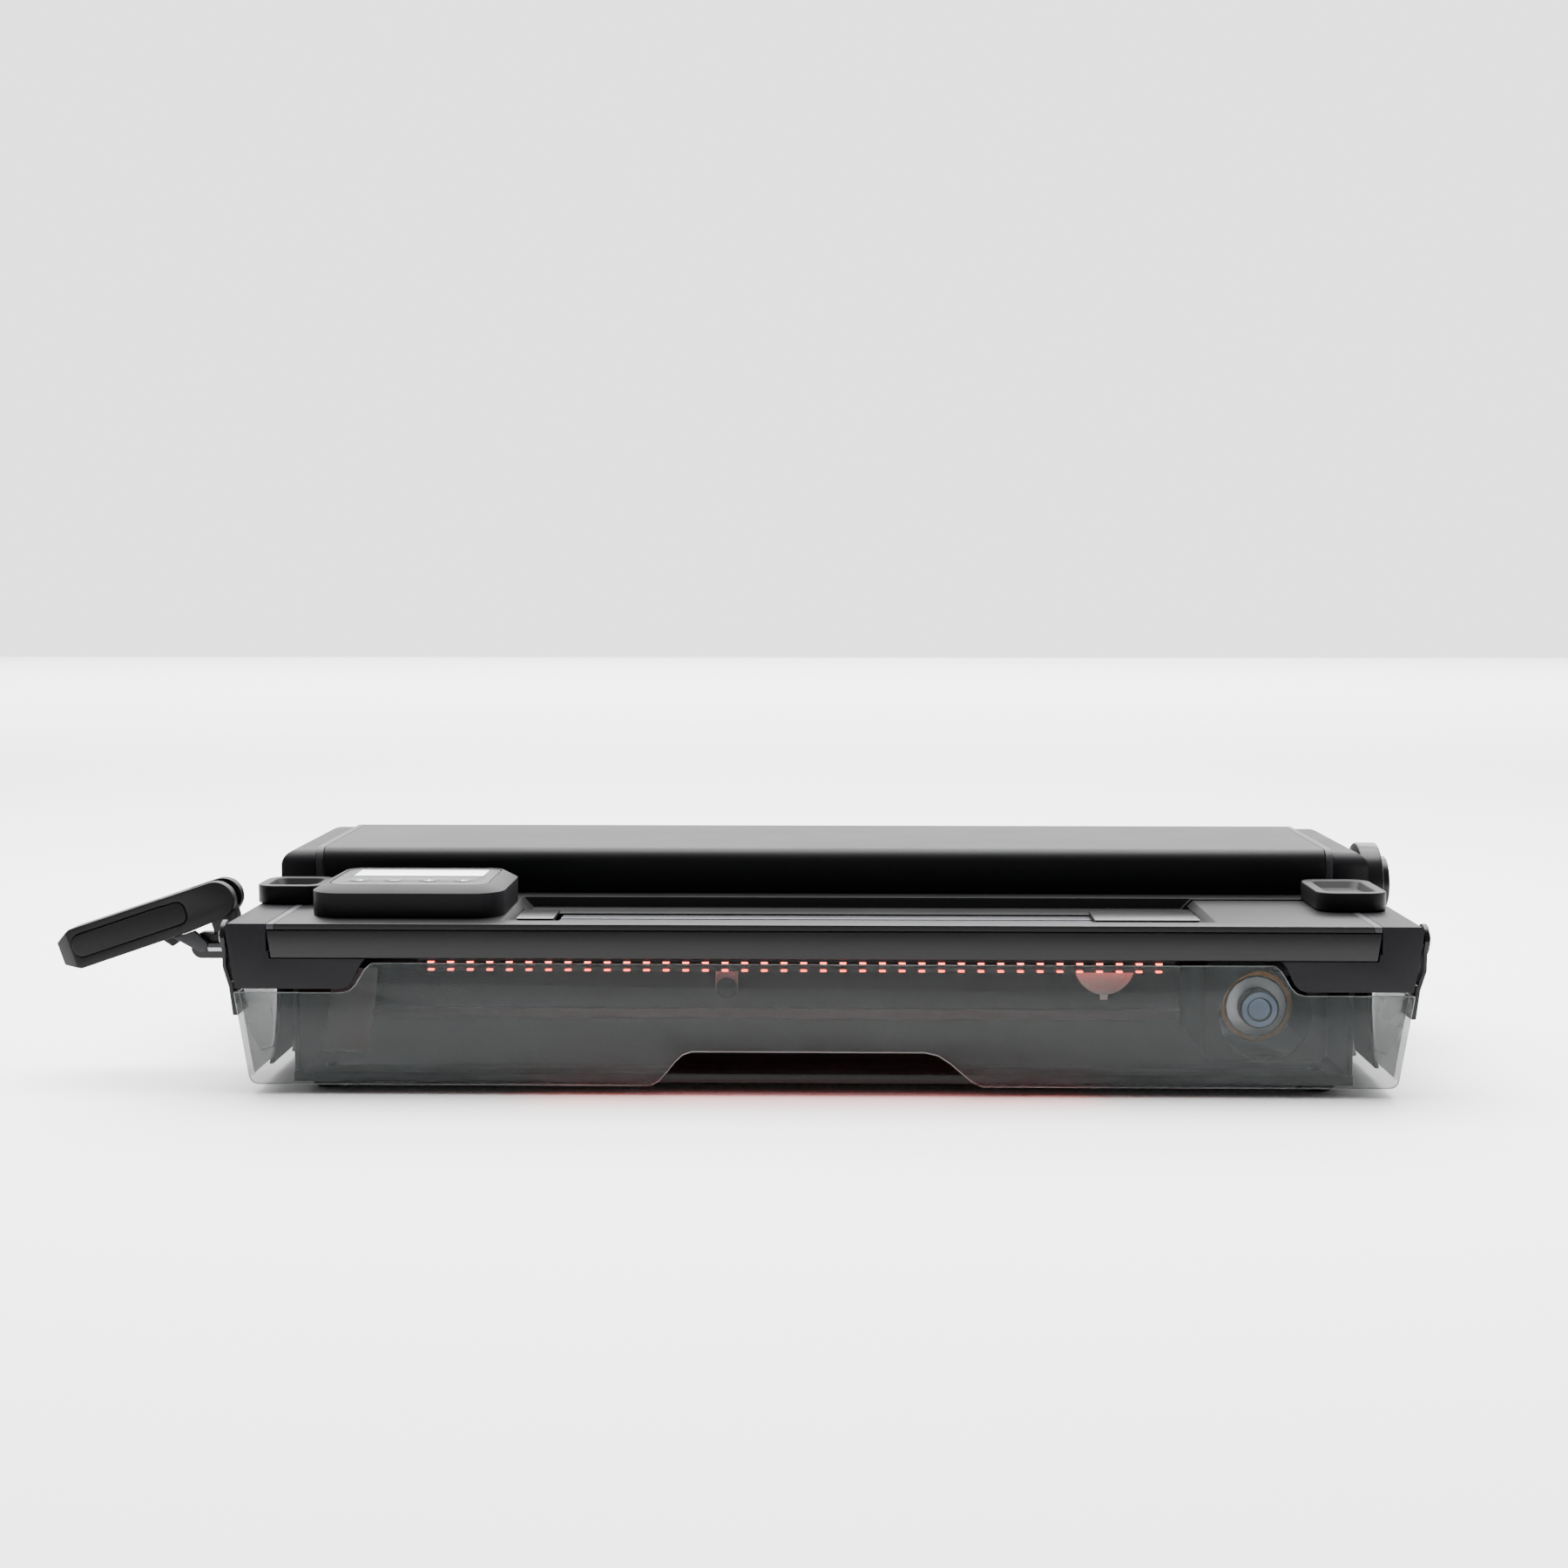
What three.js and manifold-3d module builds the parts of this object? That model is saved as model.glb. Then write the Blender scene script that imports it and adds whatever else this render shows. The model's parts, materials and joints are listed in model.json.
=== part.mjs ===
// A bench-top skate sharpener: a long low housing with a clamping slot for the blade, a flip-up
// front door, and a belt-driven carriage that runs a grinding ring along under the slot.
//
// Millimetres, +Z up. Inside this file X = 0 is the middle of the housing, Y = 0 its front face,
// with Y growing to the back, and Z = 0 the table. The finished group is then shifted so that its
// origin lies under the middle of the whole machine.

import * as THREE from 'three';
import { mergeVertices } from 'three/addons/utils/BufferGeometryUtils.js';
import Module from 'manifold-3d';

const wasm = await Module();
wasm.setup();

// ---------- driving dimensions ----------

const wall = 3; // moulded wall thickness
const gap = 0.3; // between pieces that touch
const bodyDepth = 250;
const baseZ = 6; // underside of the base
const floorZ = 11; // top of the base's floor
const deckZ = 92; // top of the deck
const coverZ = 118; // top of the rear cover
const capTopZ = 116.5; // the end caps' rear part stands a little lower than the cover
const coverY = 120; // front face of the rear cover
const coverRound = 8; // edge radius of the rear cover

const coverX = 291.4; // half the length of the rear cover and the deck
const stripX = [291.7, 295.7]; // trim strip between the cover and an end cap
const capX = 296; // inner edge of an end cap
const capSide = { top: 318, drop: 313, foot: 306 }; // its outer face at deckZ, dropZ and the base
const cornerRound = 30; // rear corners in plan
const dropZ = 57; // lower edge of the end caps' front drops
const dropX = [243, 255]; // where a drop's S-curve starts and ends
const fascia = { low: 73.5, topX: 295.7, lowX: 293.7 };

const recess = { left: -172, right: 211, front: 14, back: 104, floor: 86, slope: 6 };
const slot = { left: -150, right: 190, front: 42, back: 80 };
const bladeY = 62; // plane in which a blade stands
const jawGap = 3.4; // at rest the jaws hold a blade this thick
const jaw = { left: -146, right: 186, low: 76, top: 85.6, deep: 12 };

const door = { topZ: 71, sideTopZ: 55, lowZ: 5, side: [314, 306], wall: 2.5, round: 5 };
const doorPivot = { y: 10, z: 84, r: 8.5 };
const cheekR = 82; // from the pivot to the back edge of the door's cheeks
const cutOut = { z: 23.4, top: [-69, 55], foot: [-91, 86] };

const lever = { x: -334, y: 53, z: 98, r: 10.5, wide: 24, tilt: 18.6, reach: 93.4 };

const pod = { left: -278, right: -173, front: 20, back: 103, top: 109.5, round: 17 };
const grip = { wide: 39, front: 51, back: 109, tall: 10.5, round: 11 };
const gripX = { left: -299.5, right: 292.5 };
const leftGripFront = 68.5; // the left grip starts behind the lever's barrel

const ringX = 241; // the carriage's middle at rest
const ringZ = 38.5;
const ringR = 20;
const carriage = { half: 33, front: 30, back: 118, low: 13, top: 68, wall: 2.5, window: 25 };
const armPivot = { x: 218, z: 23, r: 3 };
const rails = { y: [128, 150], z: 82, r: 4, end: 276 };
const belt = { x: 262, y: 163, z: 92, wide: 6, r: 10, thick: 1.4 };
const port = { y: 165, z: 93, r: 24, innerR: 16, step: 330.5, end: 336 };
const footPlaces = [[-267, 24], [267, 24], [-267, 226], [267, 226]];

// ---------- finishes ----------

const finishes = {
  satinBlack: { color: 0x1b1b1d, roughness: 0.5 },
  charcoal: { color: 0x2c2a2d, roughness: 0.6 },
  deepBlack: { color: 0x0d0d0e, roughness: 0.4 },
  trimGrey: { color: 0x4a4a4c, roughness: 0.5 },
  smokeClear: { color: 0x6f7474, roughness: 0.05, transparent: true, opacity: 0.45 },
  clear: { color: 0xe8ecee, roughness: 0.05, transparent: true, opacity: 0.35 },
  rubber: { color: 0x111111, roughness: 0.9 },
  steel: { color: 0xb8babd, roughness: 0.3, metalness: 1 },
  blueSteel: { color: 0x8492a6, roughness: 0.35, metalness: 1 },
  aluminium: { color: 0xa9acb0, roughness: 0.4, metalness: 1 },
  abrasive: { color: 0xc08a3a, roughness: 0.9 },
  redGlow: { color: 0xff3a2c, roughness: 0.4 },
  boardGreen: { color: 0x1f5a37, roughness: 0.6 },
  display: { color: 0xe6ebf2, roughness: 0.2 },
  paleDisc: { color: 0xe9d9d6, roughness: 0.4 },
};

const machine = new THREE.Group();

// Adds one named piece to a group, which is the whole machine unless another is given.
function part(name, geometry, finish, parent = machine) {
  const mesh = new THREE.Mesh(geometry, new THREE.MeshStandardMaterial(finishes[finish]));
  mesh.name = name;
  parent.add(mesh);
  return mesh;
}

// ---------- solids ----------

function toSolid(geometry) {
  const bare = geometry.clone();
  bare.deleteAttribute('normal');
  bare.deleteAttribute('uv');
  const merged = mergeVertices(bare, 1e-4);
  const vertProperties = Float32Array.from(merged.attributes.position.array);
  const triVerts = Uint32Array.from(merged.index.array);
  return new wasm.Manifold(new wasm.Mesh({ numProp: 3, vertProperties, triVerts }));
}

function toGeometry(solid) {
  const mesh = solid.getMesh();
  const geometry = new THREE.BufferGeometry();
  geometry.setAttribute('position', new THREE.BufferAttribute(mesh.vertProperties, 3));
  geometry.setIndex(new THREE.BufferAttribute(mesh.triVerts, 1));
  geometry.computeVertexNormals();
  return geometry;
}

function fuse(...pieces) {
  return toGeometry(pieces.map(toSolid).reduce((a, b) => a.add(b)));
}
function carve(base, ...cutters) {
  return toGeometry(cutters.map(toSolid).reduce((a, b) => a.subtract(b), toSolid(base)));
}
function common(...pieces) {
  return toGeometry(pieces.map(toSolid).reduce((a, b) => a.intersect(b)));
}

// The same piece on the other side of the housing, with its faces turned outwards again.
function mirrored(geometry) {
  const copy = toGeometry(toSolid(geometry)).scale(-1, 1, 1);
  const order = copy.index.array;
  for (let i = 0; i < order.length; i += 3) [order[i], order[i + 1]] = [order[i + 1], order[i]];
  copy.computeVertexNormals();
  return copy;
}

function box(x, y, z) {
  const size = [x[1] - x[0], y[1] - y[0], z[1] - z[0]];
  const middle = [x, y, z].map(([low, high]) => (low + high) / 2);
  return new THREE.BoxGeometry(...size).translate(...middle);
}

// Extrusions of an outline along one axis. The outline's two coordinates are the other two axes,
// in the order Y Z, X Z and X Y.
function extrude(shape, length, curveSegments) {
  // points that fall together, such as where an arc meets a line, are kept once
  const distinct = (points) => points.filter(
    (p, i) => p.distanceTo(points[(i + 1) % points.length]) > 1e-3);
  const plain = new THREE.Shape(distinct(shape.getPoints(curveSegments)));
  plain.holes = shape.holes.map((hole) => new THREE.Path(distinct(hole.getPoints(curveSegments))));
  return new THREE.ExtrudeGeometry(plain, { depth: length, bevelEnabled: false });
}
function alongX(shape, x, curveSegments = 5) {
  const turn = new THREE.Matrix4().makeBasis(
    new THREE.Vector3(0, 1, 0), new THREE.Vector3(0, 0, 1), new THREE.Vector3(1, 0, 0));
  return extrude(shape, x[1] - x[0], curveSegments).applyMatrix4(turn).translate(x[0], 0, 0);
}
function alongY(shape, y, curveSegments = 5) {
  return extrude(shape, y[1] - y[0], curveSegments).rotateX(Math.PI / 2).translate(0, y[1], 0);
}
function alongZ(shape, z, curveSegments = 5) {
  return extrude(shape, z[1] - z[0], curveSegments).translate(0, 0, z[0]);
}

const outline = (points) => new THREE.Shape(points.map(([a, b]) => new THREE.Vector2(a, b)));

function roundedRect(x, y, r) {
  const shape = new THREE.Shape();
  shape.absarc(x[1] - r, y[0] + r, r, -Math.PI / 2, 0);
  shape.absarc(x[1] - r, y[1] - r, r, 0, Math.PI / 2);
  shape.absarc(x[0] + r, y[1] - r, r, Math.PI / 2, Math.PI);
  shape.absarc(x[0] + r, y[0] + r, r, Math.PI, 1.5 * Math.PI);
  return shape;
}

function disc(a, b, r) {
  return new THREE.Shape().absarc(a, b, r, 0, 2 * Math.PI);
}

function washer(a, b, r, hole) {
  const shape = disc(a, b, r);
  shape.holes.push(disc(a, b, hole));
  return shape;
}

// A capsule outline between two round ends.
function strap([ax, ay], ra, [bx, by], rb) {
  const along = Math.atan2(by - ay, bx - ax);
  const lean = Math.acos((ra - rb) / Math.hypot(bx - ax, by - ay));
  const shape = new THREE.Shape();
  shape.absarc(ax, ay, ra, along + lean, along - lean + 2 * Math.PI);
  shape.absarc(bx, by, rb, along - lean, along + lean);
  return shape;
}

// ---------- base and housing ----------

function baseTray() {
  const side = [280, 283];
  const inner = bodyDepth - wall - gap;
  const floor = fuse(
    box([-side[1], side[1]], [4, inner], [baseZ, floorZ]),
    box([-300, 300], [92, bodyDepth - 10], [baseZ, floorZ - 3]),
    box([-60, 70], [60, 130], [baseZ - 4, baseZ + 1]),
  );
  const sideWalls = [side, [-side[1], -side[0]]].map((x) => fuse(
    box(x, [6, coverY + 2], [floorZ - 1, 84]),
    box(x, [coverY + 3.5, inner], [floorZ - 1, 110]),
    box(x, [coverY, coverY + 6], [floorZ - 1, 84]),
  ));
  const tray = fuse(
    floor, ...sideWalls,
    box([-side[0] - 1, side[0] + 1], partitionY, [floorZ - 1, 70]),
    box([gap - capX, capX - gap], [bodyDepth - wall, bodyDepth], [baseZ, 61.7]),
    box([-290, 290], [inner - 1, bodyDepth - 1], [baseZ, floorZ - 3]),
    ...rails.y.flatMap((y) => [railBoss(y), mirrored(railBoss(y))]),
    idlerBracket(),
  );
  const railLength = shrink([-rails.end, rails.end], -gap);
  const railSockets = rails.y.map((y) => alongX(disc(y, rails.z, rails.r + gap), railLength, 4));
  const back = [bodyDepth - 7, bodyDepth + 2];
  const airWay = alongX(disc(fan.y, fan.z, fan.bore - 1), [side[0] - 1, side[1] + 1]);
  const rodWay = alongX(disc(clampRod.y, clampRod.z, clampRod.r + 0.6), [-side[1] - 1, -side[0] + 1], 4);
  const vents = [];
  for (let i = 0; i < 9; i += 1) vents.push(box([60 + 14 * i, 68 + 14 * i], back, [20, 50]));
  const footHoles = footPlaces.map(([x, y]) => alongZ(disc(x, y, 3.6), [0, 20], 6));
  const seatZ = [0, baseZ + screwSeat.deep];
  const screwSeats = screwPlaces.map(([x, y]) => alongZ(disc(x, y, screwSeat.r), seatZ, 3));
  return carve(tray, airWay, rodWay, box(inlet.x, back, inlet.z), box(rocker.x, back, rocker.z),
    ...vents, ...footHoles, ...screwSeats, ...railSockets);
}

const partitionY = [157, 160];

// A boss on the base's side wall that holds one end of a guide rail.
const railBoss = (y) => alongX(disc(y, rails.z, rails.r + 5), [rails.end - 4, 281], 5);

// The rear cover's section is an upside-down U in Y and Z.
function coverSection(inset) {
  return { y: [coverY + inset, bodyDepth - inset], z: coverZ - inset, r: coverRound - inset };
}

function coverShape(frontFoot, rearFoot) {
  const out = coverSection(0);
  const inn = coverSection(wall - 0.5);
  const shape = new THREE.Shape();
  shape.moveTo(inn.y[0], frontFoot);
  shape.lineTo(out.y[0], frontFoot);
  shape.absarc(out.y[0] + out.r, out.z - out.r, out.r, Math.PI, Math.PI / 2, true);
  shape.absarc(out.y[1] - out.r, out.z - out.r, out.r, Math.PI / 2, 0, true);
  shape.lineTo(out.y[1], rearFoot);
  shape.lineTo(inn.y[1], rearFoot);
  shape.absarc(inn.y[1] - inn.r, inn.z - inn.r, inn.r, 0, Math.PI / 2);
  shape.absarc(inn.y[0] + inn.r, inn.z - inn.r, inn.r, Math.PI / 2, Math.PI);
  return shape;
}

const coverBackFoot = 62; // the cover's back wall ends here, above the base's

// A trim strip follows the deck and then the cover, from the front edge to the back.
function trimStrip() {
  const cover = alongX(coverShape(deckZ - wall, coverBackFoot), stripX);
  return fuse(cover, box(stripX, [0, coverY + 1], [deckZ - wall, deckZ]));
}

// The right strip dips under the way of the right cover's plate, bar and neck.
function rightTrimStrip() {
  const across = [stripX[0] - 1, stripX[1] + 1];
  const under = deckZ - 6;
  const bridge = box(stripX, [plateY[0] - 6, neckRoom[1] + 4], [under - wall, deckZ - 1]);
  const plateWay = box(across, [plateY[0] - 1.5, neckRoom[1]], [under, deckZ - wall]);
  const neckWay = box(across, neckRoom, [under, deckZ + 1]);
  return carve(fuse(trimStrip(), bridge), plateWay, neckWay);
}

// One end cap's outside shape, or its hollow when inset is the wall thickness.
function capBlock(inset) {
  const inner = inset > 0 ? capX - 6 : capX;
  const foot = inset > 0 ? 0 : baseZ + 1;
  const { top, drop, foot: footX } = capSide;
  const chamfer = 1.6;
  const edge = 9;
  const rearTop = capTopZ - inset;
  const rear = coverSection(inset);
  const plan = new THREE.Shape();
  const planX = top - cornerRound - 4;
  plan.moveTo(planX, inset);
  plan.lineTo(top - inset, inset);
  plan.absarc(top - cornerRound, bodyDepth - cornerRound, cornerRound - inset, 0, Math.PI / 2);
  plan.lineTo(planX, bodyDepth - inset);
  const lowSection = outline([
    [inner, deckZ - inset], [top - chamfer - inset, deckZ - inset], [top - inset, deckZ - chamfer - inset],
    [drop - inset, dropZ], [footX - inset, foot], [inner, foot],
  ]);
  const highSection = new THREE.Shape();
  highSection.moveTo(inner, deckZ - 12);
  highSection.lineTo(top - 2 - inset, deckZ - 12);
  highSection.absarc(top - 2 - inset - edge, rearTop - edge, edge, 0, Math.PI / 2);
  highSection.lineTo(inner, rearTop);
  const highSide = new THREE.Shape();
  highSide.moveTo(rear.y[1], deckZ - 12);
  highSide.lineTo(rear.y[0], deckZ - 12);
  highSide.absarc(rear.y[0] + rear.r, rearTop - rear.r, rear.r, Math.PI, Math.PI / 2, true);
  highSide.absarc(rear.y[1] - rear.r, rearTop - rear.r, rear.r, Math.PI / 2, 0, true);
  const low = common(alongY(lowSection, [inset, bodyDepth - inset]), alongZ(plan, [foot - 1, deckZ + 1], 8));
  const high = common(
    alongY(highSection, [rear.y[0] - 1, rear.y[1] + 1]), alongX(highSide, [inner - 1, top + 4]),
    alongZ(plan, [foot, coverZ], 8));
  return fuse(low, high);
}

// The door's cheeks end in an arc round the pivot, and the caps start just outside that arc.
function doorSweep(r, x, z) {
  return common(alongX(disc(doorPivot.y, doorPivot.z, r), x, 24), box(x, [-5, 110], z));
}

function endCap() {
  const doorRoom = fuse(
    doorSweep(cheekR + 1.4, [capX - 10, capSide.top + 5], [0, dropZ]),
    box([capX - 10, capSide.top + 5], [-5, doorPivot.y], [0, dropZ]),
  );
  // the drop runs in under the fascia and ends in an S-curve
  const drop = new THREE.Shape();
  const topZ = fascia.low - gap;
  const [near, far] = dropX;
  drop.moveTo(capX + 3, topZ + 4);
  drop.lineTo(fascia.lowX + 1.2, topZ + 4);
  drop.lineTo(fascia.lowX + 0.6, topZ);
  drop.lineTo(near, topZ);
  drop.bezierCurveTo(near + 6, topZ - 4, near + 5, dropZ, far + 2, dropZ);
  drop.lineTo(capX + 3, dropZ);
  const shell = carve(capBlock(0), capBlock(wall), doorRoom);
  const neckWay = box([capX - 1, capSide.top + 6], neckRoom, [deckZ - 8, deckZ + 1]);
  const pinHole = alongX(disc(doorPivot.y, doorPivot.z, pinR + gap), [305, 325], 4);
  return carve(fuse(shell, alongY(drop, [0, wall], 6)), neckWay, pinHole);
}

function deckPanel() {
  const { left, right, front, back, floor, slope } = recess;
  const plate = box([-coverX, coverX], [0, coverY - gap], [deckZ - wall, deckZ]);
  const tub = box([left - 2, right + 2], [front - wall, back + wall], [floor - wall, deckZ - 1]);
  const hollow = alongY(outline([
    [left + slope, floor], [right - slope, floor], [right, deckZ + 0.01], [left, deckZ + 0.01],
  ]), [front, back]);
  const slotHole = box([slot.left, slot.right], [slot.front, slot.back], [floor - 10, floor + 1]);
  const leftWay = box([left - 10, left + slope + 1], [plateY[0] - 1, plateY[1] + 1], [floor, floor + 2.6]);
  const rightWay = box([right - slope - 1, right + 10], [plateY[0] - 1, neckRoom[1]], [floor, floor + 2.6]);
  const neckWay = box([right - 20, coverX + 1], neckRoom, [floor, deckZ + 1]);
  return carve(fuse(plate, tub), hollow, slotHole, leftWay, rightWay, neckWay);
}

function fasciaPanel() {
  const { low, topX, lowX } = fascia;
  const high = deckZ - wall - gap;
  return alongY(outline([[-lowX, low], [lowX, low], [topX, high], [-topX, high]]), [0, wall]);
}

// ---------- slot covers ----------

const plateY = [46, 78];
const neckY = [96, 100];
const neckRoom = [95, 101];
const plateZ = [86.4, 88.2];
const plateEnd = 282; // the plate's outer end, which stays inside the end cap as the cover opens

function gripPad(x, front) {
  const block = alongZ(roundedRect([x - grip.wide / 2, x + grip.wide / 2], [front, grip.back], grip.round),
    [deckZ + gap, deckZ + gap + grip.tall], 4);
  const rim = 5;
  const dish = new THREE.SphereGeometry(1, 16, 10)
    .scale(grip.wide / 2 - rim, (grip.back - front) / 2 - rim, 5)
    .translate(x, (front + grip.back) / 2, deckZ + gap + grip.tall + 0.2);
  return carve(block, dish);
}

// The plate that closes the right end of the slot, with the bar and neck that carry its grip.
function slotCover(innerX, neckX) {
  return fuse(
    box([innerX, plateEnd], plateY, plateZ),
    box([plateEnd - 6, plateEnd], [plateY[1] - 1, neckY[1]], plateZ),
    box([plateEnd - 6, neckX + 3], neckY, plateZ),
    box([neckX - 3, neckX + 3], neckY, [plateZ[0], deckZ]),
  );
}

// ---------- door ----------

function doorOutline() {
  const { topZ, sideTopZ, lowZ, side, round } = door;
  const [high, low] = side;
  const [near, far] = dropX;
  const shape = new THREE.Shape();
  shape.moveTo(-low + round, lowZ);
  shape.lineTo(cutOut.foot[0], lowZ);
  shape.bezierCurveTo(cutOut.foot[0] + 8, lowZ + 2, cutOut.top[0] - 9, cutOut.z, cutOut.top[0], cutOut.z);
  shape.lineTo(cutOut.top[1], cutOut.z);
  shape.bezierCurveTo(cutOut.top[1] + 13, cutOut.z, cutOut.foot[1] - 10, lowZ + 2, cutOut.foot[1], lowZ);
  shape.lineTo(low - round, lowZ);
  shape.quadraticCurveTo(low, lowZ, low + 0.8, lowZ + round);
  shape.lineTo(high, sideTopZ);
  shape.lineTo(far + 1, sideTopZ);
  shape.bezierCurveTo(near + 4, sideTopZ, near + 4, topZ - 4, near - 3, topZ);
  shape.lineTo(-near + 3, topZ);
  shape.bezierCurveTo(-near - 4, topZ - 4, -near - 4, sideTopZ, -far - 1, sideTopZ);
  shape.lineTo(-high, sideTopZ);
  shape.lineTo(-low - 0.8, lowZ + round);
  shape.quadraticCurveTo(-low, lowZ, -low + round, lowZ);
  return shape;
}

function doorPanel() {
  const { side, lowZ, sideTopZ, round, wall: t } = door;
  const cheekSection = outline([
    [side[1] + 0.8, lowZ + round], [side[0], sideTopZ],
    [side[0] - t, sideTopZ], [side[1] + 0.8 - t, lowZ + round],
  ]);
  const reach = doorSweep(cheekR, [side[1] - 6, side[0] + 1], [lowZ, sideTopZ]);
  const cheek = common(alongY(cheekSection, [0, 100]), reach);
  return fuse(alongY(doorOutline(), [0, t], 5), cheek, mirrored(cheek));
}

// A hinge arm laps on the outside of the door's cheek and carries the pivot's eye above it.
function doorArm() {
  const { y, z, r } = doorPivot;
  const lap = common(
    alongX(outline([[3, 42], [26, 42], [20, 60], [4, 60]]), [300, 330]),
    alongY(outline([[312.6, 42], [315.1, 42], [317.6, 60], [314.9, 60]]), [0, 40]),
  );
  const blade = common(
    alongX(outline([[4, 57], [20, 57], [y + 7.5, z - 2], [y - 6.5, z - 2]]), [300, 330]),
    alongY(outline([
      [314.9, 57], [317.2, 57], [320.4, 68], [320.4, z + 1], [318.6, z + 1], [318.6, 68],
    ]), [0, 40]),
  );
  const eye = alongX(disc(y, z, r), eyeX, 6);
  return carve(fuse(lap, blade, eye), alongX(disc(y, z, pinR + gap), [310, 330], 4));
}

const eyeX = [318.6, 321.1];
const pinR = 3;

// A headed pin that passes through the arm's eye into the end cap.
function doorPin() {
  const { y, z } = doorPivot;
  const shank = alongX(disc(y, z, pinR), [eyeX[0] - 7, eyeX[1] + 0.5], 4);
  return fuse(shank, alongX(disc(y, z, pinR + 1.6), [eyeX[1] + gap, eyeX[1] + 1.7], 4));
}

// ---------- clamp ----------

// The handle lies along -X from its barrel at the origin, and its group tilts and places it.
function leverHandle() {
  const half = lever.wide / 2;
  const { r, reach } = lever;
  const side = new THREE.Shape();
  side.moveTo(-reach + 10, r);
  side.lineTo(-reach, 5.4);
  side.lineTo(-reach, -7.6);
  side.lineTo(-reach + 10, -12.2);
  side.lineTo(-19, -11.8);
  side.absarc(0, 0, r, -Math.PI / 2, Math.PI / 2);
  const block = alongY(side, [-half, half], 8);
  const plan = outline([
    [r + 1, -half], [r + 1, half], [-26, half], [-30, half - 1.5], [-reach + 8, half - 1.5],
    [-reach - 1, half - 7], [-reach - 1, 7 - half], [-reach + 8, 1.5 - half], [-30, 1.5 - half], [-26, -half],
  ]);
  const fork = box([-15, 16], [-5, 5], [-16, 16]);
  const inlay = alongY(roundedRect(inlayX, inlayZ, 5), [-half - 1, -half + 2.4], 3);
  const pinHole = alongY(disc(0, 0, pinR + gap), [-half + 2, half + 1], 5);
  const hook = alongY(outline([[-38, -11], [-33.5, -17], [-29, -15.5], [-28, -11]]), [-4, 4]);
  return fuse(common(carve(block, fork, pinHole, inlay), alongZ(plan, [-20, 20])), hook);
}

const inlayX = [-84, -17];
const inlayZ = [-6.5, 6.5];

// The cam hangs under the handle's front half and pushes the clamp rod as the handle comes down.
function leverCam() {
  const plate = alongY(strap([-25, -9], 5, [-16, -21], 3.5), [-11, -6.5], 4);
  return carve(plate, box([-60, 20], [-20, 20], [-12.2, 20]));
}

function leverPin() {
  return alongY(disc(0, 0, pinR), [-9.5, lever.wide / 2 - 0.5], 5);
}

// The bracket is a pad on the left end cap with one ear, which stands in the handle's fork.
function leverBracket() {
  const { x, y, z } = lever;
  const ear = alongY(strap([x, z], 8, [x + 7, 72], 7), [y - 4.5, y + 4.5], 5);
  const pad = alongY(roundedRect([x - 15.5, 8 - capSide.top], [65, 79], 6), [y - 5.5, y + 5], 4);
  const faceX = -capSide.top - gap;
  const across = [y - 20, y + 20];
  const cap = alongY(outline([
    [faceX, deckZ - 1], [-capSide.drop - gap, dropZ], [-290, dropZ], [-290, deckZ + 20], [faceX, deckZ + 20],
  ]), across);
  return carve(fuse(ear, pad), cap, alongY(disc(x, z, pinR + gap), across, 5));
}

const clampRod = { y: 44, z: 72, r: 2.5, x: [-338.6, 150], wedges: [-60, 90] };

function clampRodPiece() {
  const { y, z, r, x, wedges } = clampRod;
  const rod = alongX(disc(y, z, r), x, 3);
  const blocks = wedges.map((middle) => alongZ(outline([
    [middle - 12, y - 3], [middle + 12, y - 3], [middle + 12, y], [middle - 12, y + 3.5],
  ]), [z - 2.2, z + 3.4]));
  return fuse(rod, ...blocks);
}

const guidePins = { x: [-160, 200], z: 78.5, r: 2.5 };

// A jaw has a lug at each end, below the deck, for a guide pin.
function jawBar(y) {
  const { left, right, low, top } = jaw;
  const lugZ = [low - 1, recess.floor - wall - 0.6];
  return fuse(
    box([left, right], y, [low, top]),
    box([left - 22, left + 4], y, lugZ),
    box([right - 4, right + 22], y, lugZ),
  );
}

function guidePinRods(y, grow) {
  return guidePins.x.map((x) => alongY(disc(x, guidePins.z, guidePins.r + grow), y, 3));
}

function movingJaw() {
  const back = bladeY - jawGap / 2;
  return carve(jawBar([back - jaw.deep, back]), ...guidePinRods([back - jaw.deep - 1, back + 1], gap));
}

// The fixed jaw stands on two feet and holds the pins that the moving jaw slides on.
function fixedJaw() {
  const y = [bladeY + jawGap / 2, bladeY + jawGap / 2 + jaw.deep];
  const footY = [y[1] - 1, slot.back + 14];
  const feet = [jaw.left, jaw.right - 20].map((x) => box([x, x + 20], footY, [72, 82.4]));
  return fuse(jawBar(y), ...feet, ...guidePinRods([34, y[1]], 0));
}

// ---------- control pod ----------

const podX = [pod.left, pod.right];
const buttonXs = [0, 1, 2, 3].map((i) => pod.left + 24 + 19 * i);
const button = { y: 44, r: 6, top: pod.top + 0.2, low: 99 };
const panelInset = 9;
const panelZ = [pod.top - 1.1, pod.top - 0.1];
const display = { x: [pod.left + 16, pod.right - 16], y: [64, 88] };

function buttonHoles(low) {
  return buttonXs.map((x) => alongZ(disc(x, button.y, button.r + gap), [low, pod.top + 1], 4));
}

function podHousing() {
  const y = [pod.front, pod.back];
  const shell = alongZ(roundedRect(podX, y, pod.round), [deckZ + gap, pod.top - 2], 5);
  const crown = roundedRect(shrink(podX, 2), shrink(y, 2), pod.round - 2);
  const shoulder = alongZ(crown, [pod.top - 3, pod.top], 5);
  const cavity = alongZ(roundedRect(shrink(podX, wall), shrink(y, wall), pod.round - wall),
    [deckZ, pod.top - 4], 4);
  const seat = alongZ(roundedRect(shrink(podX, panelInset), shrink(y, panelInset), 9),
    [panelZ[0] - 0.2, pod.top + 1], 4);
  return carve(fuse(shell, shoulder), cavity, seat, ...buttonHoles(deckZ));
}

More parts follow.
